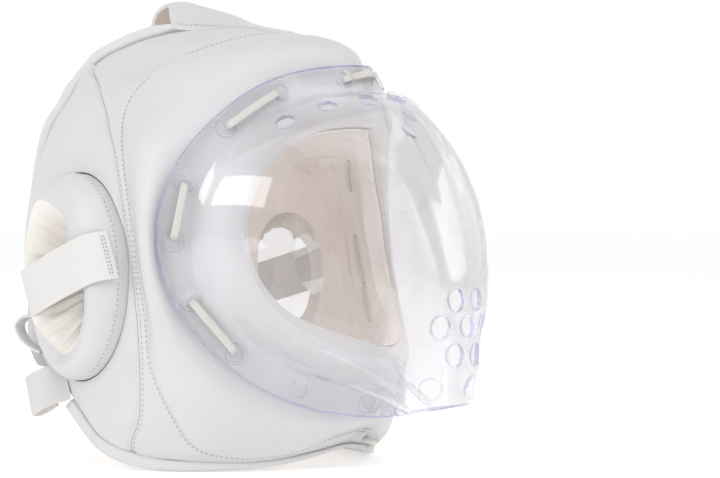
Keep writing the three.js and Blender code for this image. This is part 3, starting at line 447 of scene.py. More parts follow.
def loft_mesh(name, rows, looks, closed=False, band_look=first_look):
    """A skin over an array of rows of points, each row a closed loop, with a UV map in metres.

    band_look(i, k) gives the place in looks of the faces past row i between its points k and k + 1."""
    rows = np.asarray(rows, float)
    count, size = rows.shape[:2]
    middle, widest = rows.mean(1), rows[count // 2]
    run = run_along(np.vstack([middle, middle[:1]])) * MM
    wide = run_along(np.vstack([widest, widest[:1]])) * MM
    faces, face_looks, uvs = [], [], []
    for i in range(count if closed else count - 1):
        j = (i + 1) % count
        for k in range(size):
            m = (k + 1) % size
            faces.append((i * size + k, i * size + m, j * size + m, j * size + k))
            face_looks.append(band_look(i, k))
            uvs += [(run[i], wide[k]), (run[i], wide[k + 1]), (run[i + 1], wide[k + 1]), (run[i + 1], wide[k])]
    if not closed:
        for cap in (range(size)[::-1], range((count - 1) * size, count * size)):
            faces.append(tuple(cap))
            face_looks.append(0)
            uvs += [(0.0, 0.0)] * size
    obj = new_object(name, drawn(rows.reshape(-1, 3)), faces, looks, face_looks, uvs)
    edit(obj, FACE_OUT)
    return obj


# ---- finishes
def add_node(tree, kind, links=None, **settings):
    """Adds a node, sets its inputs and attributes by name, and links named inputs from sockets."""
    node = tree.nodes.new(kind)
    for key, value in settings.items():
        if key.startswith("in_"):
            node.inputs[key[3:].replace("_", " ")].default_value = value
        else:
            setattr(node, key, value)
    for key, socket in (links or {}).items():
        tree.links.new(socket, node.inputs[key])
    return node


class Finish:
    """A material with its Principled shader, and short ways to add to it."""

    def __init__(self, name, colour, roughness, **inputs):
        self.material = bpy.data.materials.new(name)
        self.material.use_nodes = True
        self.tree = self.material.node_tree
        self.shader = next(n for n in self.tree.nodes if n.type == "BSDF_PRINCIPLED")
        self.colour = colour
        self.material.diffuse_color = (*colour, 1)
        for key, value in dict(Base_Color=(*colour, 1), Roughness=roughness, **inputs).items():
            self.shader.inputs[key.replace("_", " ")].default_value = value

    def add(self, kind, links=None, **settings):
        return add_node(self.tree, kind, links, **settings)

    def link(self, socket, name):
        self.tree.links.new(socket, self.shader.inputs[name])

    def texture(self, kind, scale, output="Fac", place=None, **settings):
        """A texture over the piece's own coordinates, or over place."""
        place = place or self.add("ShaderNodeTexCoord").outputs["Object"]
        return self.add(f"ShaderNodeTex{kind}", {"Vector": place}, in_Scale=scale, **settings).outputs[output]

    def weave(self, scale, turn=0.0, **settings):
        """Waves over the piece's UV map."""
        uv = self.add("ShaderNodeUVMap", uv_map="weave").outputs["UV"]
        mapping = self.add("ShaderNodeMapping", {"Vector": uv}, in_Scale=(*scale, 1), in_Rotation=(0, 0, turn))
        return self.texture("Wave", 1.0, place=mapping.outputs["Vector"], **settings)

    def vary_colour(self, source, factor, tint=(1, 1, 1)):
        """Colour between the finish's own and a factor of it, where source is low."""
        low = [c * factor * t for c, t in zip(self.colour, tint)]
        ramp = self.add("ShaderNodeValToRGB", {"Fac": source})
        for element, colour, place in zip(ramp.color_ramp.elements, (low, self.colour), (0.35, 0.65)):
            element.color = (*colour, 1)
            element.position = place
        self.link(ramp.outputs["Color"], "Base Color")

    def raise_bumps(self, *layers):
        """Bump in layers, each a source, a strength and a distance in metres."""
        under = {}
        for source, strength, distance in layers:
            links = {"Height": source, **under}
            bump = self.add("ShaderNodeBump", links, in_Strength=strength, in_Distance=distance)
            under = {"Normal": bump.outputs["Normal"]}
        self.link(under["Normal"], "Normal")


def leather_finish(colour):
    """Soft white leatherette: pebbled grain, faint clouding and a satin sheen."""
    look = Finish("white_leather", colour, 0.46, Specular_IOR_Level=0.45, Coat_Weight=0.06, Coat_Roughness=0.35)
    look.vary_colour(look.texture("Noise", 18.0, in_Detail=3.0), 0.955, (1, 0.995, 0.985))
    wear = look.add("ShaderNodeMapRange", {"Value": look.texture("Noise", 260.0, in_Detail=4.0)},
                    in_To_Min=0.38, in_To_Max=0.56)
    look.link(wear.outputs["Result"], "Roughness")
    look.raise_bumps((look.texture("Voronoi", 1350.0, "Distance", feature="SMOOTH_F1"), 0.35, 0.00009),
                     (look.texture("Noise", 420.0, in_Detail=5.0), 0.25, 0.00018))
    return look.material


def cloth_finish(name, colour, nap_scale):
    """Brushed cloth with a short nap."""
    look = Finish(name, colour, 0.9, Sheen_Weight=0.35, Sheen_Roughness=0.5)
    look.vary_colour(look.texture("Noise", 35.0, in_Detail=4.0), 0.88, (1, 0.98, 0.95))
    look.raise_bumps((look.texture("Noise", nap_scale, in_Detail=3.0), 0.4, 0.0002),
                     (look.texture("Wave", 420.0, in_Distortion=1.5), 0.2, 0.0001))
    return look.material


def tape_finish(colour):
    """Folded woven tape with a fine twill."""
    look = Finish("binding_tape", colour, 0.62)
    twill = look.weave((900, 900), 0.7)
    look.vary_colour(twill, 0.93)
    look.raise_bumps((twill, 0.3, 0.00015), (look.texture("Noise", 900.0, in_Detail=3.0), 0.2, 0.0001))
    return look.material


def elastic_finish(colour):
    """Ribbed elastic webbing: fine ribs across, a few long picks along."""
    look = Finish("elastic_webbing", colour, 0.78)
    rib = look.weave((420, 0))
    look.vary_colour(rib, 0.98)
    look.raise_bumps((rib, 0.22, 0.00015), (look.weave((0, 300), bands_direction="Y"), 0.15, 0.0001))
    return look.material


def lace_finish(colour):
    """Flat braided cord: two sets of slanted strands."""
    look = Finish("braided_lace", colour, 0.8)
    strands = {k: look.weave((330, 330), turn) for k, turn in enumerate((0.6, -0.6))}
    braid = look.add("ShaderNodeMath", strands, operation="MULTIPLY").outputs["Value"]
    look.vary_colour(braid, 0.82, (1, 0.98, 0.93))
    look.raise_bumps((braid, 0.7, 0.0004))
    return look.material


def thread_finish(name, colour, roughness):
    look = Finish(name, colour, roughness)
    ply = look.texture("Noise", 2600.0)
    look.vary_colour(ply, 0.85)
    look.raise_bumps((ply, 0.3, 0.0001))
    return look.material


def clear_finish(colour):
    """Clear moulded plastic. Lamps reach what is behind it."""
    look = Finish("clear_shield", colour, 0.015, Transmission_Weight=1.0, IOR=1.49, Alpha=0.75)
    look.raise_bumps((look.texture("Noise", 14.0, in_Detail=1.0), 0.06, 0.001))
    pass_light = look.add("ShaderNodeBsdfTransparent", in_Color=(0.985, 0.985, 0.99, 1))
    mix = look.add("ShaderNodeMixShader", {
        "Fac": look.add("ShaderNodeLightPath").outputs["Is Shadow Ray"],
        1: look.shader.outputs["BSDF"], 2: pass_light.outputs["BSDF"]})
    output = next(n for n in look.tree.nodes if n.type == "OUTPUT_MATERIAL")
    look.tree.links.new(mix.outputs["Shader"], output.inputs["Surface"])
    return look.material


def cut_edge_glow_finish(colour):
    """The shield's cut edge, where light gathers to a violet glow; the glow is painted into the edge's colour."""
    look = Finish("shield_cut_edge", colour, 0.16, Alpha=0.4)
    look.vary_colour(look.texture("Noise", 160.0, in_Detail=2.0), 0.85)
    return look.material


finishes = {}


def make_finishes(colours):
    colour = {name: tuple(getattr(colours, name)) for name in colours.__annotations__}
    finishes.update(
        leather=leather_finish(colour["leather"]),
        lining=cloth_finish("lining_cloth", colour["lining"], 1500.0),
        tape=tape_finish(colour["tape"]),
        elastic=elastic_finish(colour["elastic"]),
        lace=lace_finish(colour["lace"]),
        thread=thread_finish("sewing_thread", (0.74, 0.73, 0.72), 0.6),
        # dark grey discs of painted shade for the needle holes and the lining's lace holes
        needle=thread_finish("needle_hole", (0.36, 0.35, 0.36), 0.9),
        ear_cloth=cloth_finish("ear_cloth", colour["ear_cloth"], 1300.0),
        shield=clear_finish(colour["shield"]),
        shield_edge=cut_edge_glow_finish(colour["shield_edge"]),
    )


# ---- padded leather
def share_between(value, low, high):
    """0 at low, 1 at high and beyond."""
    return np.clip((value - low) / (high - low), 0, 1)


def seam_dip(distance, amount):
    """How far the leather is drawn in at a distance from a seam."""
    return amount * np.exp(-(distance / SEAM_ROLL_SPREAD) ** 2)


def edge_spaced(width, count):
    """Fractions from 0 to 1, close together near both ends of a strip of this width in millimetres."""
    near = EDGE_SPACING / width
    near *= min(1, EDGE_SHARE / near[-1])
    middle = np.linspace(near[-1], 1 - near[-1], count)[1:-1]
    return np.array([0, *near, *middle, *(1 - near[::-1]), 1])


def padded_rib(start, end, start_thickness, end_thickness, roll, count, puff, power):
    """A rib across a padded strip: its outer and its inner side."""
    width = max(np.linalg.norm(end - start), 3.0)
    f = edge_spaced(width, count)[:, None]
    base = on_form(start * (1 - f) + end * f)
    normal = form_normal(base)
    lie = base + (start - on_form(start)) * (1 - f) + (end - on_form(end)) * f
    lie += normal * puff * np.sin(math.pi * f)
    dip = seam_dip(f * width, roll) + seam_dip((1 - f) * width, roll)
    thickness = start_thickness + (end_thickness - start_thickness) * f ** power
    return np.array([lie - normal * dip, lie - normal * thickness])


def rear_seam_thickness(i):
    """Thickness at the band's rear seam, less near both ends of the panel."""
    full = share_between(min(i - SEAM_START, SEAM_END - i), 0, 2 * SEAM_STEPS)
    return EDGE_THICKNESS + (SEAM_THICKNESS - EDGE_THICKNESS) * full


def band_sides(roll=SEAM_ROLL):
    """Outer and inner points of the gusset band, a rib for each sample of its seams."""
    ribs = []
    for i, (front, rear) in enumerate(zip(front_seam, rear_line)):
        gap = across_band(i) * GAP / 2
        ribs.append(padded_rib(front + gap, rear - gap, SEAM_THICKNESS, rear_seam_thickness(i), roll, **BAND_RIB))
        ribs[-1][..., 0] = np.minimum(ribs[-1][..., 0], -GAP / 2)
    return np.swapaxes(ribs, 0, 1)


def panel_sides(roll=SEAM_ROLL):
    """Outer and inner points of the side panel, from the band to the rear edge."""
    ribs = []
    for i, edge in enumerate(panel_edge, SEAM_START):
        seam = rear_line[i]
        start, end = seam + across_band(i) * GAP / 2, edge - unit(edge - seam) * GAP / 2
        ribs.append(padded_rib(start, end, rear_seam_thickness(i), EDGE_THICKNESS, roll, **PANEL_RIB))
    return np.swapaxes(ribs, 0, 1)


def dented(outer):
    normal = form_normal(outer)
    for centre, spread, depth in DENTS:
        reach = (((outer - np.array(centre)) / np.array(spread)) ** 2).sum(-1)
        outer = outer - normal * (depth * np.exp(-reach))[..., None]
    return outer


def skin_rows(outer, inner):
    """Rows out along one side and back along the other."""
    return np.concatenate([outer, inner[:, ::-1]], axis=1)


def lined_inside(size, end=math.inf):
    """Looks for skin_rows of size points a side: the second look inside, up to row end."""
    return lambda i, k: int(size <= k < 2 * size - 1 and i < end)


def signed_angle(p):
    return math.degrees(math.atan2(-p[0], p[2] - AXIS_Z))


PAD_SAMPLES, PAD_LEATHER_SAMPLES = 4, 5  # for each interval of a rib, under the lining and in the leather
OPENING_PLACE = 7  # the opening's point in a front pad rib
PAD_CENTRE = np.array([0.0, 60.0, 100.0])


def front_pad_rib(seam_point, across, samples=PAD_SAMPLES):
    """A rib of the front pad: from the seam over the front, round the opening and back inside."""
    degrees = signed_angle(seam_point)
    out_normal, normal = form_normal(seam_point), flange_normal(degrees)
    seam = seam_point - across * GAP / 2
    seam_inner = seam - out_normal * SEAM_THICKNESS
    under = -normal * (SHIELD_WALL + FLANGE_CLEARANCE)
    flange_outer, flange_inner = on_flange(degrees, 0.3) + under, on_flange(degrees, FLANGE_WIDTH) + under
    opening = opening_point(degrees)
    t = math.radians(degrees)
    outward = np.array([-math.sin(t), 0.0, math.cos(t)])
    puff = 0.4 + 0.6 * share_between(-abs(degrees), -165, -145)

    def swell(f, amount):
        return seam * (1 - f) + flange_outer * f + unit(out_normal * (1 - f) + normal * f) * amount * puff

    crest = flange_inner * 0.4 + opening * 0.6 + np.array([0, -4.0, 0]) + outward
    roll = opening + np.array([0, 13.0, 0]) + outward * 4
    inside = (roll + seam_inner) / 2 + out_normal * 3
    line = [seam, swell(0.3, 5), swell(0.65, 6), swell(0.9, 1.6), flange_outer, flange_inner, crest, opening, roll,
            inside, seam_inner]
    return smooth_line(line, samples)


def front_pad_ribs(samples=PAD_SAMPLES):
    """Ribs round the whole front pad, from the crown's middle over the right side and back."""
    right = BAND[:, :3] * RIGHT
    crown = right[:1] * 0 + np.array([0.0, BAND[0, 1] - 1, BAND[0, 2] + 0.5])
    seam = smooth_line(np.vstack([crown, right, mirror_rows(right[:-1])[::-1]]), SEAM_STEPS, closed=True)
    ribs = []
    for p, ahead, behind in zip(seam, np.roll(seam, -1, 0), np.roll(seam, 1, 0)):
        across = unit(np.cross(form_normal(p), unit(ahead - behind)))
        ribs.append(front_pad_rib(p, across if across @ (PAD_CENTRE - p) >= 0 else -across, samples))
    return np.array(ribs)


class HEADGUARD_OT_front_pad(bpy.types.Operator):
    """The pad round the face: seam valley, crest inside the flange and rolled opening edge"""
    bl_idname = "headguard.front_pad"
    bl_label = "Front pad"

    def execute(self, context):
        rows = front_pad_ribs(PAD_LEATHER_SAMPLES)
        edge = OPENING_PLACE * PAD_LEATHER_SAMPLES
        for row in rows[np.abs(rows[:, 0, 0]) < 0.2]:  # the crease in the middle
            row[2:edge + 2] -= form_normal(row[2:edge + 2]) * PAD_CREASE
        pad = loft_mesh("front_pad_leather", rows, ["leather", "lining"], closed=True,
                        band_look=lambda i, k: int(k > edge))
        finish_piece(pad, "leather", "front_pad", angle=50, fill=0.8)
        return {"FINISHED"}


def finish_side(piece, side, slot, node=None, sheet=None, **settings):
    """Finishes a right or left piece. sheet ends with the name, less its side, of what the sheet rests on."""
    cut = (*sheet[:3], [f"{sheet[3]}_{side}"]) if sheet else None
    finish_piece(piece, slot, *([f"{node}_{side}"] if node else []), cut=cut, **settings)


def loft_side(side, name, rows, looks, slot, node=None, closed=False, band_look=first_look, **settings):
    finish_side(loft_mesh(f"{name}_{side}", rows, looks, closed, band_look), side, slot, node, **settings)


def loft_pair(name, rows, looks, slot, node=None, left=None, **settings):
    """Lofts and finishes a piece for each side. left holds the left one's rows where they aren't mirrored."""
    loft_side("right", name, rows, looks, slot, node, **settings)
    loft_side("left", name, mirror_rows(rows) if left is None else left, looks, slot, node, **settings)


def mirror_pair(piece, slot, node, **settings):
    """Finishes a right piece and a copy of it turned over for the left."""
    copy = piece.copy()
    copy.data = piece.data.copy()
    copy.name = piece.name.replace("right", "left")
    bpy.context.scene.collection.objects.link(copy)
    copy.data.transform(Matrix.Scale(-1, 4, (1, 0, 0)))
    copy.data.flip_normals()
    edit(copy, FACE_OUT)
    for side, each in (("right", piece), ("left", copy)):
        finish_side(each, side, slot, node, **settings)


class HEADGUARD_OT_gussets(bpy.types.Operator):
    """The bands between the front pad and the crown, side panels and neck rim"""
    bl_idname = "headguard.gussets"
    bl_label = "Gussets"

    def execute(self, context):
        outer, inner = band_sides(context.scene.headguard_sizes.seam_roll)
        loft_pair("gusset_leather", skin_rows(dented(outer), inner), ["leather", "lining"], "leather", "gusset",
                  band_look=lined_inside(outer.shape[1], SEAM_END), angle=50, fill=0.5)
        return {"FINISHED"}


# ---- ear ring
def ear_point(turn, grow):
    """Point of the form on an oval that is larger than the ring's outer seam; turn 0 is the front."""
    rake = EAR_RAKE * math.sin(turn) if math.cos(turn) < 0 else 0.0
    y = EAR_Y - (EAR_HALF_DEPTH + grow + rake) * math.cos(turn)
    z = EAR_Z + (EAR_HALF_HEIGHT + grow) * math.sin(turn)
    rise = FORM_RISE if z > FORM_CENTRE[2] else FORM_DROP
    rest = 1 - abs(y / FORM_SIZE[1]) ** FORM_POWER - abs((z - FORM_CENTRE[2]) / rise) ** FORM_POWER
    return np.array([-FORM_SIZE[0] * rest ** (1 / FORM_POWER), y, z])


def ring_point(turn, inset, height):
    """A point at an inset from the ring's outer seam and a height over the form."""
    return ear_point(turn, -inset) + form_normal(ear_point(turn, 0)) * height


def ear_plug(name, grow, outside, inside, shift=(0, 0, 0)):
    """A plug through the shell on the ear ring's oval."""
    turns = np.linspace(0, 2 * math.pi, 96, endpoint=False)
    ring = np.array([ear_point(t, grow) for t in turns]) + np.array(shift)
    return loft_mesh(name, [ring + form_normal(ring) * d for d in (outside, 0, -inside)], [])


class HEADGUARD_OT_side_panels(bpy.types.Operator):
    """The side and back panels, with the ear hole cut through them"""
    bl_idname = "headguard.side_panels"
    bl_label = "Side panels"

    def execute(self, context):
        outer, inner = panel_sides(context.scene.headguard_sizes.seam_roll)
        panel = loft_mesh("side_panel_leather_right", skin_rows(dented(outer), inner), ["leather", "lining"],
                          band_look=lined_inside(outer.shape[1]))
        cut_by(panel, ear_plug("ear_cutter", grow=0.5, outside=30, inside=40))
        mirror_pair(panel, "leather", "side_panel", angle=40, fill=0.6)
        return {"FINISHED"}


def ear_section(turn, worn):
    """The ring's section at a turn. worn is 1 for the ring whose upper lip has slumped, 0 for the open one."""
    c, s = math.cos(turn), math.sin(turn)
    slump = worn * max(0.0, math.cos(turn - SLUMP_PEAK)) ** 2
    spread = (1 - worn) * max(0.0, -c) ** 0.7
    close = (1 - worn) * (7.0 * max(c, 0) ** 2 + 8.5 * max(s, 0) ** 2)
    points = []
    for k, (front, ends, rear, slumps, spreads, closes) in enumerate(EAR_SECTION):
        inset, height = (e + c * (f - r) / 2 + c * c * ((f + r) / 2 - e) for f, e, r in zip(front, ends, rear))
        inset += slump * slumps - spread * spreads + close * closes
        points.append((inset, height - slump * (LIP_DROP if k == EAR_LIP else 0)))
    return points


def ear_ring_rows(pleat, worn=1):
    """Sections of the ear ring, gathered into pleats towards the throat."""
    rows = []
    for turn in np.linspace(0, 2 * math.pi, EAR_TURNS, endpoint=False):
        line = smooth_line([ring_point(turn, *place) for place in ear_section(turn, worn)], EAR_SAMPLES)
        gather = math.sin(turn * 27 + 0.6 * math.sin(turn * 5)) + 0.35 * math.sin(turn * 44 + 1.3)
        rearward = max(-math.cos(turn), 0)
        place = np.arange(len(line)) / EAR_SAMPLES
        share = np.clip((place - 3.0 + rearward) / 1.3, 0, 1) * np.clip(6.6 - place, 0, 1)
        base = ear_point(turn, 0)
        way = unit(ear_point(turn, -10) - base) * 0.8 + form_normal(base) * 0.5
        rows.append(line + way * (pleat * gather * (0.7 + 0.5 * rearward) * share)[:, None])
    return np.array(rows)


def points_at(places, run, line):
    """Points, or one point, of a line at places of its run."""
    return np.stack([np.interp(places, run, line[:, a]) for a in range(3)], -1)


def shift_cloth_edge(rows):
    """Slides the samples along each section, so that the cloth starts nearer the seam above and behind."""
    places = np.arange(rows.shape[1])
    start, end = (k * EAR_SAMPLES for k in EAR_CLOTH_ROWS)
    for i, row in enumerate(rows):
        above_rear = max(math.cos(2 * math.pi * i / EAR_TURNS - CLOTH_PEAK), 0) ** 3
        edge = start - 2.2 * EAR_SAMPLES * above_rear
        source = np.interp(places, [0, start, end, places[-1]], [0, edge, end, places[-1]])
        rows[i] = points_at(source, places, row)
    return rows


class HEADGUARD_OT_ear_rings(bpy.types.Operator):
    """The puffed rings round the ear holes, with a gathered cloth throat"""
    bl_idname = "headguard.ear_rings"
    bl_label = "Ear rings"

    def execute(self, context):
        pleat = context.scene.headguard_sizes.pleat_depth
        start, end = (k * EAR_SAMPLES for k in EAR_CLOTH_ROWS)
        loft_pair("ear_ring_leather", shift_cloth_edge(ear_ring_rows(pleat)), ["leather", "ear_cloth", "lining"],
                  "leather", "ear_ring", left=mirror_rows(ear_ring_rows(pleat * 0.6, worn=0)), closed=True,
                  band_look=lambda i, k: int(k >= start) + int(k >= end), angle=60, fill=0.9)
        return {"FINISHED"}


# ---- lining
def soft_folds(points, depth):
    """Long soft folds, as offsets from the cloth's lie."""
    x, y, z = np.moveaxis(points, -1, 0)
    return depth * (1 + 0.55 * np.sin(0.065 * y + 0.034 * z + 0.5) + 0.2 * np.sin(0.21 * z + 0.11 * y + 2.0)
                    + 0.3 * np.sin(0.15 * y - 0.06 * z + 0.02 * x + 1.1))


def cloth_rows(near, inward, depth):
    lie = near + inward * LINING_CLEARANCE
    lie = lie + inward * soft_folds(lie, depth)[..., None]
    return skin_rows(lie, lie + inward * LINING_THICKNESS)


class HEADGUARD_OT_lining(bpy.types.Operator):
    """The cloth inside the front pad and the sides"""
    bl_idname = "headguard.lining"
    bl_label = "Lining"

    def execute(self, context):
        fold = context.scene.headguard_sizes.lining_fold
        self.line_front(fold * FRONT_LINING_FOLD)
        self.line_sides(fold)
        return {"FINISHED"}

    def line_front(self, fold):
        """From the opening's rolled edge back along the inside of the front pad."""
        first = OPENING_PLACE * PAD_SAMPLES + 1
        near = front_pad_ribs()[:, first:first + 3 * PAD_SAMPLES - 1]
        inward = LINING_CENTRE - near
        inward /= np.linalg.norm(inward, axis=-1, keepdims=True)
        front = loft_mesh("lining_front_cloth", cloth_rows(near, inward, fold), ["lining"], closed=True)
        cut = (0.3, 0.16), 0.0317, "stretched", ["front_pad"]
        finish_piece(front, "lining", "lining_front", angle=60, cut=cut)

    def line_sides(self, fold):
        """From a lap over the front lining back to the rear edge, with an ear hole."""
        lap = []
        for i in range(SEAM_START, SEAM_END + 1):
            rib = front_pad_rib(front_seam[i], across_band(i))
            lap.append([rib[-1] * (1 - f) + rib[-1 - PAD_SAMPLES] * f for f in (0.45, 0.3, 0.15)])
        band_inner, panel_inner = band_sides()[1], panel_sides()[1]
        near = np.concatenate([lap, band_inner[SEAM_START:SEAM_END + 1, 2::2], panel_inner[:, 2:-1:2]], axis=1)
        reach = np.linspace(0, 1, near.shape[1])
        tucked = 1 - share_between(reach, 0, 0.09)
        lift = 2.6 * (1 - share_between(reach, 0, 0.3)) * (1 - tucked) - 1.8 * tucked
        near = near - form_normal(near) * lift[:, None]
        side = loft_mesh("lining_cloth_right", cloth_rows(near, -form_normal(near), fold), ["lining"])
        cut_by(side, ear_plug("lining_cutter", grow=-13.5, outside=30, inside=60, shift=(0, -3, -4)))
        mirror_pair(side, "lining", "lining", angle=50, sheet=((0.24, 0.11), 0.0179, "stretched", "side_panel"))


# ---- bindings
def bar_rows(frames, sides, squareness):
    """Rows round a flat bar: each frame is a point, the way and half of its width, and of its thickness."""
    turns = (np.arange(sides) + 0.5) * 2 * math.pi / sides
    c, s = (np.sign(v) * np.abs(v) ** squareness for v in (np.cos(turns), np.sin(turns)))
    return np.array([point + np.outer(c, wide) + np.outer(s, thick) for point, wide, thick in frames])


def tape_rows(frames, thickness):
    """A rounded tape: each frame is a point, its out direction, its normal and its half width."""
    return bar_rows([(point, out * half, normal * thickness / 2) for point, out, normal, half in frames],
                    sides=16, squareness=0.62)


def rib_end_frame(outer, inner):
    """The tape's frame over the end of a rib, turned out over its outer side."""
    outward = unit(outer[-1] - inner[-1])
    tangent = outer[-1] - outer[-6]
    tangent = unit(tangent - outward * (tangent @ outward))
    c, s = math.cos(EDGE_TAPE_FLARE), math.sin(EDGE_TAPE_FLARE)
    out, half = tangent * c + outward * s, BINDING_WIDTH / 2
    point = (outer[-1] + inner[-1]) / 2 + out * (half + EDGE_THICKNESS / 2 * s + 3 * GAP)
    return point, out, outward * c - tangent * s, half


def edge_tape_frames():
    """Frames from a narrow start at the crown, then down the rear edge."""
    band, rear = ([rib_end_frame(o, n) for o, n in zip(*sides)] for sides in (band_sides(0), panel_sides(0)))
    crown = []
    for k, (point, out, normal, half) in enumerate(band[int(1.7 * SEAM_STEPS):SEAM_START]):
        f = min(0.3 + 0.175 * k, 1)
        crown.append((point - normal * 1.6 * (1 - f), out, normal, half * f))
    return crown + rear[3:-SEAM_STEPS - 3]


def rim_tape_frames():
    """Frames from the left rear corner round the chin to the right one."""
    band, panel = (np.mean(sides, 0) for sides in (band_sides(0), panel_sides(0)))
    stations = [(band[i][-1], np.interp((i - SEAM_END) / SEAM_STEPS, range(len(RIM_TAPE)), RIM_TAPE))
                for i in range(len(band) - 1, SEAM_END, -2)]
    corner = [panel[k][-1] for k in range(-1, -SEAM_STEPS - 1, -2)]
    stations += [(point, BINDING_WIDTH) for point in [*panel[-1][4:-2:2], *corner]]
    stations = [(mirror_rows(point), width) for point, width in stations[:0:-1]] + stations
    points = np.array([point for point, _ in stations])
    for _ in range(2):
        points[1:-1] = points[1:-1] * 0.5 + (points[:-2] + points[2:]) * 0.25
    frames = []
    for i, (_, width) in enumerate(stations):
        along = unit(along_at(points, i))
        out = unit(np.array([0, 0, -1.0]) + along * along[2])
        frames.append((points[i] + out * (0.62 * width - 0.2), out, np.cross(along, out), width / 2))
    return frames


class HEADGUARD_OT_bindings(bpy.types.Operator):
    """The folded tape on the crown and back edges and round the neck rim"""
    bl_idname = "headguard.bindings"
    bl_label = "Bindings"

    def execute(self, context):
        loft_pair("edge_tape", tape_rows(edge_tape_frames(), EDGE_TAPE_THICKNESS), ["tape"], "binding",
                  "edge_binding", angle=60)
        rows = tape_rows(rim_tape_frames(), BINDING_THICKNESS)
        rows[..., 2] = np.maximum(rows[..., 2], 0.1)
        finish_piece(loft_mesh("rim_tape", rows, ["tape"]), "binding", "rim_binding", angle=60)
        return {"FINISHED"}


# ---- face shield
ARC = 0.5523  # how far a cubic curve's handles reach for a quarter round
DOME_START = 0.035


def flange_width(degrees):
    """Full round the face, narrowing smoothly to the chin."""
    f = share_between(abs((degrees + 540) % 360 - 180), 171, 180)
    return FLANGE_WIDTH + (CHIN_FLANGE_WIDTH - FLANGE_WIDTH) * f * f * (3 - 2 * f)


def dome_point(degrees, f):
    """Point of the dome's outer face, from the flange at 0 to the foremost point at 1."""
    start = on_flange(degrees, flange_width(degrees))
    low = max(0.0, -math.cos(math.radians(degrees))) ** 12
    flat = np.array([start[0], 0.0, start[2] - SHIELD_FRONT[2]])
    first = start + np.array([0, -ARC * (start[1] - SHIELD_FRONT[1]) - 5 * low, -30 * low])
    second = SHIELD_FRONT + unit(flat) * (ARC * np.linalg.norm(flat) + 55 * low)
    g = 1 - f
    return g ** 3 * start + 3 * g * g * f * first + 3 * g * f * f * second + f ** 3 * SHIELD_FRONT


def dome_normal(degrees, f):
    around = dome_point(degrees + 1, f) - dome_point(degrees - 1, f)
    inward = dome_point(degrees, f + 0.01) - dome_point(degrees, f - 0.01)
    normal = unit(np.cross(around, inward))
    return -normal if normal @ (dome_point(degrees, f) - np.array([0, -60.0, 100.0])) < 0 else normal


def shield_section(degrees):
    """The outer line of the shield at an angle, with a small fillet where the dome leaves the flange."""
    width = flange_width(degrees)
    bend = min(3.0, width * 0.4)
    flat = [on_flange(degrees, inset) for inset in (0, 0.3 * width, 0.6 * width, width - bend)]
    corner, up = on_flange(degrees, width), dome_point(degrees, DOME_START)
    fillet = [(1 - t) ** 2 * flat[-1] + 2 * t * (1 - t) * corner + t * t * up for t in (0.25, 0.5, 0.75)]
    return flat + fillet + [dome_point(degrees, f) for f in (DOME_START, *np.linspace(0.07, 0.97, 26))]


def shield_sheet():
    """The shield's outer skin as an open sheet, closed at the foremost point."""
    rows = [shield_section(a) for a in np.arange(0, 360, 2.5)]
    count, size = len(rows), len(rows[0])
    faces = []
    for i in range(count):
        j = (i + 1) % count
        faces += [(i * size + k, j * size + k, j * size + k + 1, i * size + k + 1) for k in range(size - 1)]
        faces.append((i * size + size - 1, j * size + size - 1, count * size))
    points = drawn([*np.concatenate(rows), SHIELD_FRONT])
    return new_object("face_shield_clear", points, faces, ["shield", "shield_edge"])


def along_normal(normal):
    return Vector(normal).to_track_quat("Z", "Y").to_euler()


def drill(point, normal, radius):
    """A round cutter for the shield, at a point of its outer face."""
    bpy.ops.mesh.primitive_cylinder_add(vertices=40, radius=radius * MM, depth=DRILL_DEPTH * MM,
                                        location=drawn(point), rotation=along_normal(normal))
    # the hole walls take the painted violet edge glow
    bpy.context.active_object.data.materials.append(finishes["shield_edge"])
    return bpy.context.active_object


def shield_holes():
    """Centre, outward direction and radius of each hole in the shield."""
    holes = [(on_flange(a, LACE_HOLE_INSET), flange_normal(a), LACE_HOLE_RADIUS) for a in LACE_HOLES]
    holes += [(dome_point(a, f), dome_normal(a, f), BROW_VENT_RADIUS) for a, f in BROW_VENTS]
    skin = shield_sheet()
    tree = BVHTree.FromObject(skin, bpy.context.evaluated_depsgraph_get())
    for x, z in MOUTH_VENTS:
        hit, normal, _, _ = tree.ray_cast(Vector((x * MM, -1.0, z * MM)), Vector((0, 1, 0)))
        normal = np.array(normal if normal.y < 0 else -normal)
        holes.append(((np.array(hit) - drawn((0, 0, 0))) / MM, normal, VENT_RADIUS))
    bpy.data.objects.remove(skin)
    return holes


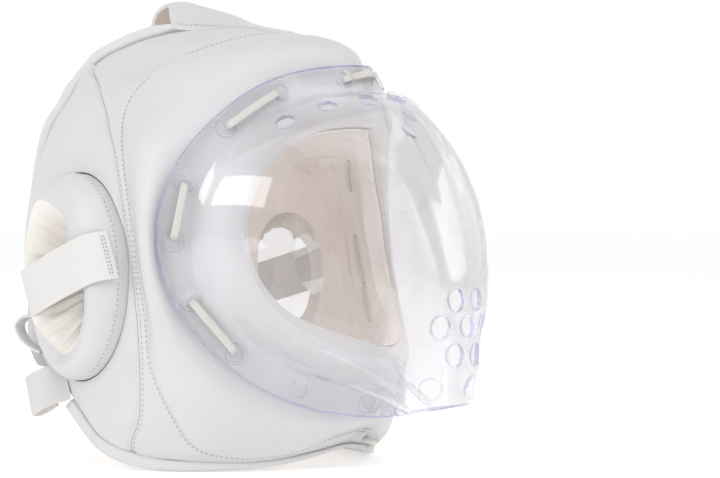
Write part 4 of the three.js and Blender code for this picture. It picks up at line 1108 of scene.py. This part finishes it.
class HEADGUARD_OT_face_shield(bpy.types.Operator):
    """The clear bubble shield with its flange, vents, lace holes and cut edges"""
    bl_idname = "headguard.face_shield"
    bl_label = "Face shield"

    def execute(self, context):
        holes = shield_holes()
        shield = shield_sheet()
        cut_normal = (0, math.sin(CHIN_CUT_SLOPE), math.cos(CHIN_CUT_SLOPE))
        edit(shield, FACE_OUT, (bpy.ops.mesh.bisect, {
            "plane_co": drawn(CHIN_CUT_POINT), "plane_no": cut_normal, "clear_inner": True}))
        # the cut rim takes the painted violet edge glow
        apply_modifier(shield, "SOLIDIFY", thickness=SHIELD_WALL * MM, offset=-1.0, material_offset_rim=1)
        cut_by(shield, joined([drill(*hole) for hole in holes], "drills"), material_mode="TRANSFER")
        finish_piece(shield, "shield", "face_shield", angle=32)
        self.add_edge_bead()
        self.add_eyelets(holes)
        return {"FINISHED"}

    def add_edge_bead(self):
        """The polished round of the flange's outer edge."""
        turns = (np.arange(8) + 0.5) * math.pi / 4
        rows = []
        for degrees in range(0, 360, 3):
            normal, inward = flange_normal(degrees), flange_inward(degrees)
            rows.append(on_flange(degrees, 0.4) - normal * 0.9 + np.outer(np.cos(turns), normal) * 1.2
                        + np.outer(np.sin(turns), inward) * 0.42)
        finish_piece(loft_mesh("shield_edge_bead", rows, ["shield_edge"], closed=True), "shield")

    def add_eyelets(self, holes):
        """Raised clear rims round the holes: fuller at the lace holes, thin at the vents."""
        rims = []
        for point, normal, radius in holes:
            wider, thick = (0.75, 0.7) if radius == LACE_HOLE_RADIUS else (0.35, 0.32)
            bpy.ops.mesh.primitive_torus_add(
                major_segments=36, minor_segments=10, major_radius=(radius + wider) * MM, minor_radius=thick * MM,
                location=drawn(point + normal * 0.55), rotation=along_normal(normal))
            rims.append(bpy.context.active_object)
        finish_piece(joined(rims, "shield_eyelets", "shield"), "shield")


# ---- laces
def lace_rows(points, normals, widths, thickness):
    """A flat rounded lace along points; normals face out of its flat side."""
    frames = []
    for i, (point, normal, width) in enumerate(zip(points, normals, widths)):
        along = unit(along_at(points, i))
        face = unit(normal - along * (along @ normal))
        frames.append((point, np.cross(along, face) * width / 2, face * thickness / 2))
    return bar_rows(frames, sides=12, squareness=0.55)


def outer_lace_rows(start, end, width):
    """Lace over the flange, down into a hole at both ends."""
    a, b = on_flange(start, LACE_HOLE_INSET), on_flange(end, LACE_HOLE_INSET)
    na, nb = flange_normal(start), flange_normal(end)
    along, middle_normal = unit(b - a), unit(na + nb)
    bow = on_flange((start + end) / 2, LACE_HOLE_INSET)
    lift = max((bow - (a + b) / 2) @ middle_normal, 0) + 1.6
    ways = [(-3.4, 1.2), (-1.0, 1.6), (1.0, 3.4), (1.5, 6)]
    leans = [(0.2, 1), (0.5, 1), (1, 0.5), (1, 0)]
    path = [a + na * up + along * on for up, on in ways]
    path += [(a + b) / 2 + middle_normal * lift] + [b + nb * up - along * on for up, on in ways[::-1]]
    face = [unit(na * up - along * on) for up, on in leans]
    face += [middle_normal] + [unit(nb * up + along * on) for up, on in leans[::-1]]
    points, normals = smooth_line(path, 7), smooth_line(face, 7)
    share = np.linspace(0, 1, len(points))
    widths = width * (0.78 + 0.22 * share_between(np.minimum(share, 1 - share), 0, 0.2))
    return lace_rows(points, normals, widths, OUTER_LACE_THICKNESS)


def inner_lace_run(start, end, ribs, angles, fold):
    """Points and normals of a lace along the inner face of the lining, between two of its holes."""
    points, normals = [], []
    for degrees in np.linspace(start, end, 25):
        k = int(np.searchsorted(angles, degrees))
        f = (degrees - angles[k - 1]) / (angles[k] - angles[k - 1])
        rib = (ribs[k - 1] * (1 - f) + ribs[k] * f)[OPENING_PLACE * PAD_SAMPLES:]
        inner = np.interp(degrees, INNER_LACE_ANGLES, INNER_LACE_SHARES)
        at = rib[PAD_SAMPLES] * (1 - inner) + rib[2 * PAD_SAMPLES] * inner
        inward = unit(LINING_CENTRE - at)
        lie = at + inward * LINING_CLEARANCE
        share = (degrees - start) / (end - start)
        rise = min(min(share, 1 - share) * 12, 1.0) * 1.7
        points.append(lie + inward * (soft_folds(lie, fold) + LINING_THICKNESS + rise))
        normals.append(inward)
    return np.array(points), np.array(normals)


class HEADGUARD_OT_laces(bpy.types.Operator):
    """The braided lace over the flange and along the lining, and its knotted end"""
    bl_idname = "headguard.laces"
    bl_label = "Laces"

    def execute(self, context):
        sizes = context.scene.headguard_sizes
        brow = loft_mesh("lace_over_brow", outer_lace_rows(10, -10, sizes.lace_width), ["lace"])
        finish_piece(brow, "lace", "lace_front", angle=60)
        for i, (start, end) in enumerate(OUTER_LACES, 1):
            loft_pair(f"lace_over_flange_{i}", outer_lace_rows(start, end, sizes.lace_width), ["lace"], "lace",
                      f"lace_outer_{i}", angle=60)
        self.add_inner_laces(sizes.lining_fold * FRONT_LINING_FOLD)
        self.add_knot()
        return {"FINISHED"}

    def add_inner_laces(self, fold):
        """The runs inside. The last one stands for no node of the CAD."""
        order = sorted(range(len(front_seam)), key=lambda i: signed_angle(front_seam[i]))
        angles = [signed_angle(front_seam[i]) for i in order]
        ribs = [front_pad_rib(front_seam[i], across_band(i)) for i in order]
        ends = []
        for i, (start, end) in enumerate(INNER_LACES, 1):
            points, normals = inner_lace_run(start, end, ribs, angles, fold)
            ends += [(points[0], normals[0]), (points[-1], normals[-1])]
            rows = lace_rows(points, normals, [INNER_LACE_WIDTH] * len(points), INNER_LACE_THICKNESS)
            loft_pair(f"lace_inside_{i}", rows, ["lace"], "lace", f"lace_inner_{i}" if i < 4 else None, angle=60)
        self.add_lace_holes(ends)

    def add_lace_holes(self, ends):
        """Small dark funnels of painted shade in the lining where the lace goes through."""
        turns = np.arange(10) * math.pi / 5
        holes = []
        for centre, normal in ends:
            side = unit(np.cross(normal, [0, 0.3, 1.0]))
            ring = np.outer(np.cos(turns), side) + np.outer(np.sin(turns), np.cross(normal, side))
            holes.append([centre + normal * d + ring * w for d, w in ((-1.6, 1.1), (0.5, 1.1), (0.9, 0.7))])
        for side, rows in on_both_sides(holes):
            pieces = [loft_mesh("lace_hole", ring, ["needle"]) for ring in rows]
            finish_piece(joined(pieces, f"lace_holes_inside_{side}"), "lining")

    def add_knot(self):
        """The lace's end under the chin: a tight overhand knot with a frayed tail."""
        low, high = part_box("chin_knot")
        centre = np.array((low + high) / 2) + np.array([2.5, -1.0, -2.5]) * MM
        strands = []
        for k, (tilt, size) in enumerate(((0.2, 3.0), (1.1, 2.7), (2.2, 2.4))):
            bpy.ops.mesh.primitive_torus_add(
                major_segments=28, minor_segments=10, major_radius=size * 0.95 * MM, minor_radius=1.5 * MM,
                location=centre + np.array([0.4 * k - 0.4, 0.2 * k, 0.7 - 0.6 * k]) * MM,
                rotation=(tilt, 0.5 * k, 0.9 * tilt))
            strands.append(bpy.context.active_object)
        for a in np.arange(14) * 2.4:
            c, s = math.cos(a), math.sin(a)
            bpy.ops.mesh.primitive_cone_add(
                vertices=6, radius1=0.28 * MM, radius2=0.08 * MM, depth=(3.2 + 0.9 * s) * MM,
                location=centre + np.array([2.4 * c, 1.6 * s - 0.8, 0.7 * math.cos(2 * a) - 1.6]) * MM,
                rotation=(math.pi + 0.4 * s, 0.5 * c, 0))
            strands.append(bpy.context.active_object)
        finish_piece(joined(strands, "lace_end_knot", "lace"), "lace", "chin_knot")


# ---- straps, loops and tongue
def ear_strap_path():
    front = math.asin((STRAP_FRONT_Z - EAR_Z) / EAR_HALF_HEIGHT)
    rear = math.pi + math.asin((EAR_Z - STRAP_REAR_Z) / EAR_HALF_HEIGHT)
    ends = (front, STRAP_FRONT), (rear, STRAP_REAR)
    return smooth_line([ring_point(turn, *place) for turn, places in ends for place in places], STRAP_STEPS)


def band_rows(points, across, width, thickness, **section):
    """A strap whose width lies along a fixed direction."""
    faces = [unit(np.cross(along_at(points, i), across)) for i in range(len(points))]
    return bar_rows([(p, across * width / 2, face * thickness / 2) for p, face in zip(points, faces)], **section)


class HEADGUARD_OT_straps(bpy.types.Operator):
    """The elastic ear straps, the elastic loops behind them and the folded leather loops"""
    bl_idname = "headguard.straps"
    bl_label = "Straps and loops"

    def execute(self, context):
        strap = band_rows(ear_strap_path(), STRAP_ACROSS, STRAP_WIDTH, thickness=1.6, sides=20, squareness=0.3)
        loop = band_rows(smooth_line(REAR_LOOP * RIGHT, STRAP_STEPS), np.array([1.0, 0, 0]), REAR_LOOP_WIDTH,
                         thickness=1.8, sides=12, squareness=0.5)
        nape = band_rows(smooth_line(NAPE_LOOP * RIGHT, STRAP_STEPS), NAPE_ACROSS, NAPE_WIDTH,
                         thickness=2.0, sides=16, squareness=0.35)
        for side, turn in (("right", np.asarray), ("left", mirror_rows)):
            loft_side(side, "ear_strap_webbing", turn(strap), ["elastic"], "elastic", "ear_strap", angle=50,
                      sheet=((STRAP_WIDTH * MM, 0.092), None, "stretched", "ear_ring"))
            loft_side(side, "rear_loop_webbing", turn(loop), ["elastic"], "elastic", "rear_loop", angle=50)
            loft_side(side, "nape_loop_leather", turn(nape), ["leather", "lining"], "leather", "nape_loop",
                      band_look=lambda i, k: int(k < 8), angle=50,
                      sheet=((NAPE_WIDTH * MM, 0.052), None, "folded", "side_panel"))
        return {"FINISHED"}


def tongue_height(table, share):
    """Height of the tongue's top at a share of its half width, a row for each row of the table."""
    edge, ridge = table[:, 2], table[:, 3]
    return edge + (ridge - edge) * (1 - np.abs(share) ** TONGUE_POWER)


class HEADGUARD_OT_crown_tongue(bpy.types.Operator):
    """The stitched leather tongue over the crown, curled down at its tip"""
    bl_idname = "headguard.crown_tongue"
    bl_label = "Crown tongue"

    def execute(self, context):
        table = smooth_line(CROWN_FLAP, TONGUE_STEPS)
        share = np.array([-1, *np.linspace(-0.94, 0.94, 17), 1])
        height = tongue_height(table, share[:, None]).T
        y, half, tilt = table[:, 0, None], table[:, 1, None], np.radians(table[:, 4])
        top = np.stack(np.broadcast_arrays(share * half, y, height), -1)
        down = np.stack([tilt * 0, -np.sin(tilt), -np.cos(tilt)], -1) * TONGUE_THICKNESS
        tongue = loft_mesh("crown_tongue_leather", skin_rows(top, top + down[:, None]), ["leather", "lining"],
                           band_look=lined_inside(len(share)))
        cut = (0.073, 0.106), 0.0052, "laid", ["front_pad", "gusset_right", "gusset_left"]
        finish_piece(tongue, "leather", "crown_flap", angle=50, cut=cut)
        return {"FINISHED"}


# ---- stitching
def inset_line(rows, distance):
    """Points at a distance from the first point of each row, with the surface's normal there."""
    points, heads = [], []
    for row in rows:
        run = run_along(row)
        k = min(max(int(np.searchsorted(run, distance)) - 1, 0), len(row) - 2)
        f = (distance - run[k]) / max(run[k + 1] - run[k], 1e-9)
        points.append(row[k] * (1 - f) + row[k + 1] * f)
        heads.append(unit(row[k + 1] - row[k]))
    points = np.array(points)
    normals = np.cross(np.gradient(points, axis=0), heads)
    normals /= np.linalg.norm(normals, axis=1, keepdims=True)
    normals *= np.sign((normals * form_normal(points)).sum(1))[:, None]
    return points, normals


def taken_mesh():
    """Points and faces of the object just added, which goes."""
    obj = bpy.context.active_object
    points, faces = np.array([v.co for v in obj.data.vertices]), [tuple(p.vertices) for p in obj.data.polygons]
    bpy.data.objects.remove(obj)
    return points, faces


def stitch_shapes(pitch, radius):
    """A stitch and a flat dark disc of painted shade for the needle hole at its end, as points along X with Z out
    of the leather, and faces.
    """
    bpy.ops.mesh.primitive_uv_sphere_add(segments=6, ring_count=4, radius=1, rotation=(0, math.pi / 2, 0))
    bpy.ops.object.transform_apply(rotation=True)
    thread, thread_faces = taken_mesh()
    bpy.ops.mesh.primitive_circle_add(vertices=6, radius=1, fill_type="NGON")
    hole, hole_shade_faces = taken_mesh()
    thread = thread * (pitch * 0.34, radius, radius * 0.8) + (0, 0, radius * 0.15)
    # the hole is a flat dark disc just over the leather: painted shade where the thread goes in
    hole = hole * (radius * 1.5, radius * 1.6, 0) + (pitch * 0.5, 0, 0.06)
    return (thread, thread_faces), (hole, hole_shade_faces)


def sew(name, lines, pitch, radius, slot="leather"):
    """Rows of stitches along lines of points and normals and their mirror images, in the drawing's millimetres."""
    shapes = stitch_shapes(pitch, radius)
    points, faces, face_looks = [], [], []
    for line, normals in lines + [(mirror_rows(p), mirror_rows(n)) for p, n in lines]:
        run = run_along(line)
        for k in range(max(int(run[-1] / pitch), 1)):
            s = (k + 0.5) * pitch
            here, ahead = points_at(s, run, line), points_at(s + 0.3, run, line)
            along = unit(ahead - here) if s + 0.3 < run[-1] else along
            up = unit(points_at(s, run, normals))
            up = unit(up - along * (up @ along))
            axes = np.stack([along, np.cross(up, along), up])
            for look, (shape, shape_faces) in enumerate(shapes):
                faces += [tuple(len(points) + v for v in face) for face in shape_faces]
                face_looks += [look] * len(shape_faces)
                points += list(here + shape @ axes)
    finish_piece(new_object(name, drawn(points), faces, ["thread", "needle"], face_looks), slot)


class HEADGUARD_OT_stitching(bpy.types.Operator):
    """Rows of stitches along the seams, ear rings, straps and tongue"""
    bl_idname = "headguard.stitching"
    bl_label = "Stitching"

    def execute(self, context):
        sizes = context.scene.headguard_sizes
        pitch, radius = sizes.stitch_pitch / MM, sizes.thread_radius / MM
        band, panel = (dented(sides(sizes.seam_roll)[0]) for sides in (band_sides, panel_sides))
        sew("gusset_stitches", [inset_line(side, SEAM_INSET) for side in (band, band[:, ::-1])], pitch, radius)
        sew("panel_stitches", [inset_line(panel[4:-8, ::-1], PANEL_INSET)], pitch, radius)
        ring = ear_ring_rows(0)
        sew("ear_ring_stitches", [inset_line([*ring, ring[0]], RING_INSET)], pitch, radius)
        sew("strap_stitches", [self.across_strap(place) for place in STRAP_PLACES], 2.0, radius, "elastic")
        sew("tongue_stitches", [self.along_tongue(inset) for inset in TONGUE_INSETS], pitch, radius)
        return {"FINISHED"}

    def across_strap(self, place):
        """A row across the ear strap at one of its points."""
        strap = ear_strap_path()
        face = unit(np.cross(unit(along_at(strap, place)), STRAP_ACROSS))
        face = face if face[0] < 0 else -face
        across = np.linspace(1.2 - STRAP_WIDTH / 2, STRAP_WIDTH / 2 - 1.2, 12)
        return strap[place] + np.outer(across, STRAP_ACROSS) + face * 0.85, np.tile(face, (12, 1))

    def along_tongue(self, inset):
        """A row at an inset from the tongue's edge."""
        table = smooth_line(CROWN_FLAP, TONGUE_STEPS)[TONGUE_FREE]
        share = 1 - inset / table[:, 1]
        line = np.stack([-share * table[:, 1], table[:, 0], tongue_height(table, share) + 0.1], -1)
        return line, np.tile([-0.3, 0.0, 0.95], (len(line), 1))


# ---- stage
def aim(obj, place, direction, up=(0, 0, 1)):
    """Puts a camera or a light at a place, looking along direction."""
    back = unit(-np.asarray(direction, float))
    right = unit(np.cross(up, back))
    turned = np.eye(4)
    turned[:3] = np.stack([right, np.cross(back, right), back, place], 1)
    bpy.context.scene.collection.objects.link(obj)
    obj.matrix_world = Matrix(turned)


def add_camera():
    """A long lens from the front right, a little above the floor."""
    c, s = math.cos(CAMERA_HEADING), math.sin(CAMERA_HEADING)
    back = np.array([s * math.cos(CAMERA_HEIGHT), -c * math.cos(CAMERA_HEIGHT), math.sin(CAMERA_HEIGHT)])
    right = unit(np.cross(-back, [0, 0, 1]))
    up = np.cross(right, -back)
    yaw, pitch = (math.atan(slope) for slope in AIM_SLOPES)
    level = -back * math.cos(yaw) - right * math.sin(yaw)
    data = bpy.data.cameras.new("camera")
    data.lens, data.sensor_width = LENS, SENSOR
    camera = bpy.data.objects.new("camera", data)
    ahead, top = level * math.cos(pitch) + up * math.sin(pitch), up * math.cos(pitch) - level * math.sin(pitch)
    aim(camera, drawn((0, 0, AIM_HEIGHT / MM)) + back * CAMERA_DISTANCE, ahead, top)
    bpy.context.scene.camera = camera


# Softboxes: place, aim and size in metres.
SOFTBOXES = {
    "key": ((-2.05, 0.5, 1.05), (-0.08, 0.02, 0.12), (1.1, 0.75)),
    "fill": ((1.5, -1.45, 0.72), (0.0, -0.1, 0.12), (0.75, 0.95)),
    "overhead": ((-0.2, -0.7, 1.9), (0, -0.02, 0.14), (2.2, 1.3)),
    "face": ((-0.95, -1.5, 0.45), (0.02, -0.05, 0.1), (0.9, 0.6)),
}
UNMIRRORED = ("face",)


def add_softbox(name, power):
    place, target, size = SOFTBOXES[name]
    data = bpy.data.lights.new(name, "AREA")
    data.shape, data.size, data.size_y = "RECTANGLE", *size
    data.energy = power
    lamp = bpy.data.objects.new(name, data)
    lamp.visible_glossy = lamp.visible_transmission = name not in UNMIRRORED
    aim(lamp, place, np.array(target) - np.array(place))


class HEADGUARD_OT_stage(bpy.types.Operator):
    """Pale floor, soft lamps and the camera"""
    bl_idname = "headguard.stage"
    bl_label = "Stage"

    def execute(self, context):
        studio = context.scene.headguard_studio
        bpy.ops.mesh.primitive_plane_add(size=40, location=(0, 0, 0))
        floor = context.active_object
        floor.name = "floor"
        look = Finish("pale_floor", (0.9, 0.9, 0.9), 0.8, Emission_Color=(1, 1, 1, 1), Emission_Strength=0.3)
        look.vary_colour(look.texture("Noise", 3.0), 0.99)
        floor.data.materials.append(look.material)
        context.scene.world = bpy.data.worlds.new("studio")
        context.scene.world.use_nodes = True
        self.light_world(context.scene.world.node_tree, studio.ambient)
        for name in SOFTBOXES:
            add_softbox(name, getattr(studio, name))
        add_camera()
        context.scene.view_settings.view_transform = "Standard"
        return {"FINISHED"}

    def light_world(self, tree, strength):
        """White behind the helmet, greyer all round, so that the clear shield has something to mirror."""
        background = next(n for n in tree.nodes if n.type == "BACKGROUND")
        direction = tree.nodes.new("ShaderNodeTexCoord").outputs["Generated"]
        ahead = add_node(tree, "ShaderNodeVectorMath", {0: direction}, operation="DOT_PRODUCT")
        ahead.inputs[1].default_value = (0.799, 0.602, 0)
        level = add_node(tree, "ShaderNodeMapRange", {"Value": ahead.outputs["Value"]},
                         in_From_Min=0.3, in_From_Max=0.8, in_To_Min=0.68, in_To_Max=1.0)
        channels = dict.fromkeys(("Red", "Green", "Blue"), level.outputs["Result"])
        grey = add_node(tree, "ShaderNodeCombineColor", channels)
        tree.links.new(grey.outputs["Color"], background.inputs["Color"])
        background.inputs["Strength"].default_value = strength


class HEADGUARD_PT_panel(bpy.types.Panel):
    bl_idname = "HEADGUARD_PT_panel"
    bl_label = "Head Guard"
    bl_space_type = "VIEW_3D"
    bl_region_type = "UI"
    bl_category = "Head Guard"

    def draw(self, context):
        scene = context.scene
        for group in (scene.headguard_sizes, scene.headguard_colours, scene.headguard_studio):
            for name in group.__annotations__:
                self.layout.prop(group, name)
        for operator in OPERATORS:
            self.layout.operator(operator.bl_idname)


OPERATORS = (
    HEADGUARD_OT_front_pad, HEADGUARD_OT_gussets, HEADGUARD_OT_side_panels, HEADGUARD_OT_ear_rings,
    HEADGUARD_OT_lining, HEADGUARD_OT_bindings, HEADGUARD_OT_face_shield, HEADGUARD_OT_laces,
    HEADGUARD_OT_straps, HEADGUARD_OT_crown_tongue, HEADGUARD_OT_stitching, HEADGUARD_OT_stage,
)
CLASSES = (HeadGuardSizes, HeadGuardColours, HeadGuardStudio, *OPERATORS, HEADGUARD_PT_panel)


def register():
    for each in CLASSES:
        bpy.utils.register_class(each)
    bpy.types.Scene.headguard_sizes = PointerProperty(type=HeadGuardSizes)
    bpy.types.Scene.headguard_colours = PointerProperty(type=HeadGuardColours)
    bpy.types.Scene.headguard_studio = PointerProperty(type=HeadGuardStudio)


def unregister():
    del bpy.types.Scene.headguard_studio
    del bpy.types.Scene.headguard_colours
    del bpy.types.Scene.headguard_sizes
    for each in reversed(CLASSES):
        bpy.utils.unregister_class(each)


def main():
    register()
    make_finishes(bpy.context.scene.headguard_colours)
    for operator in OPERATORS:
        select_only()
        category, name = operator.bl_idname.split(".")
        getattr(getattr(bpy.ops, category), name)()


if __name__ == "__main__":
    main()
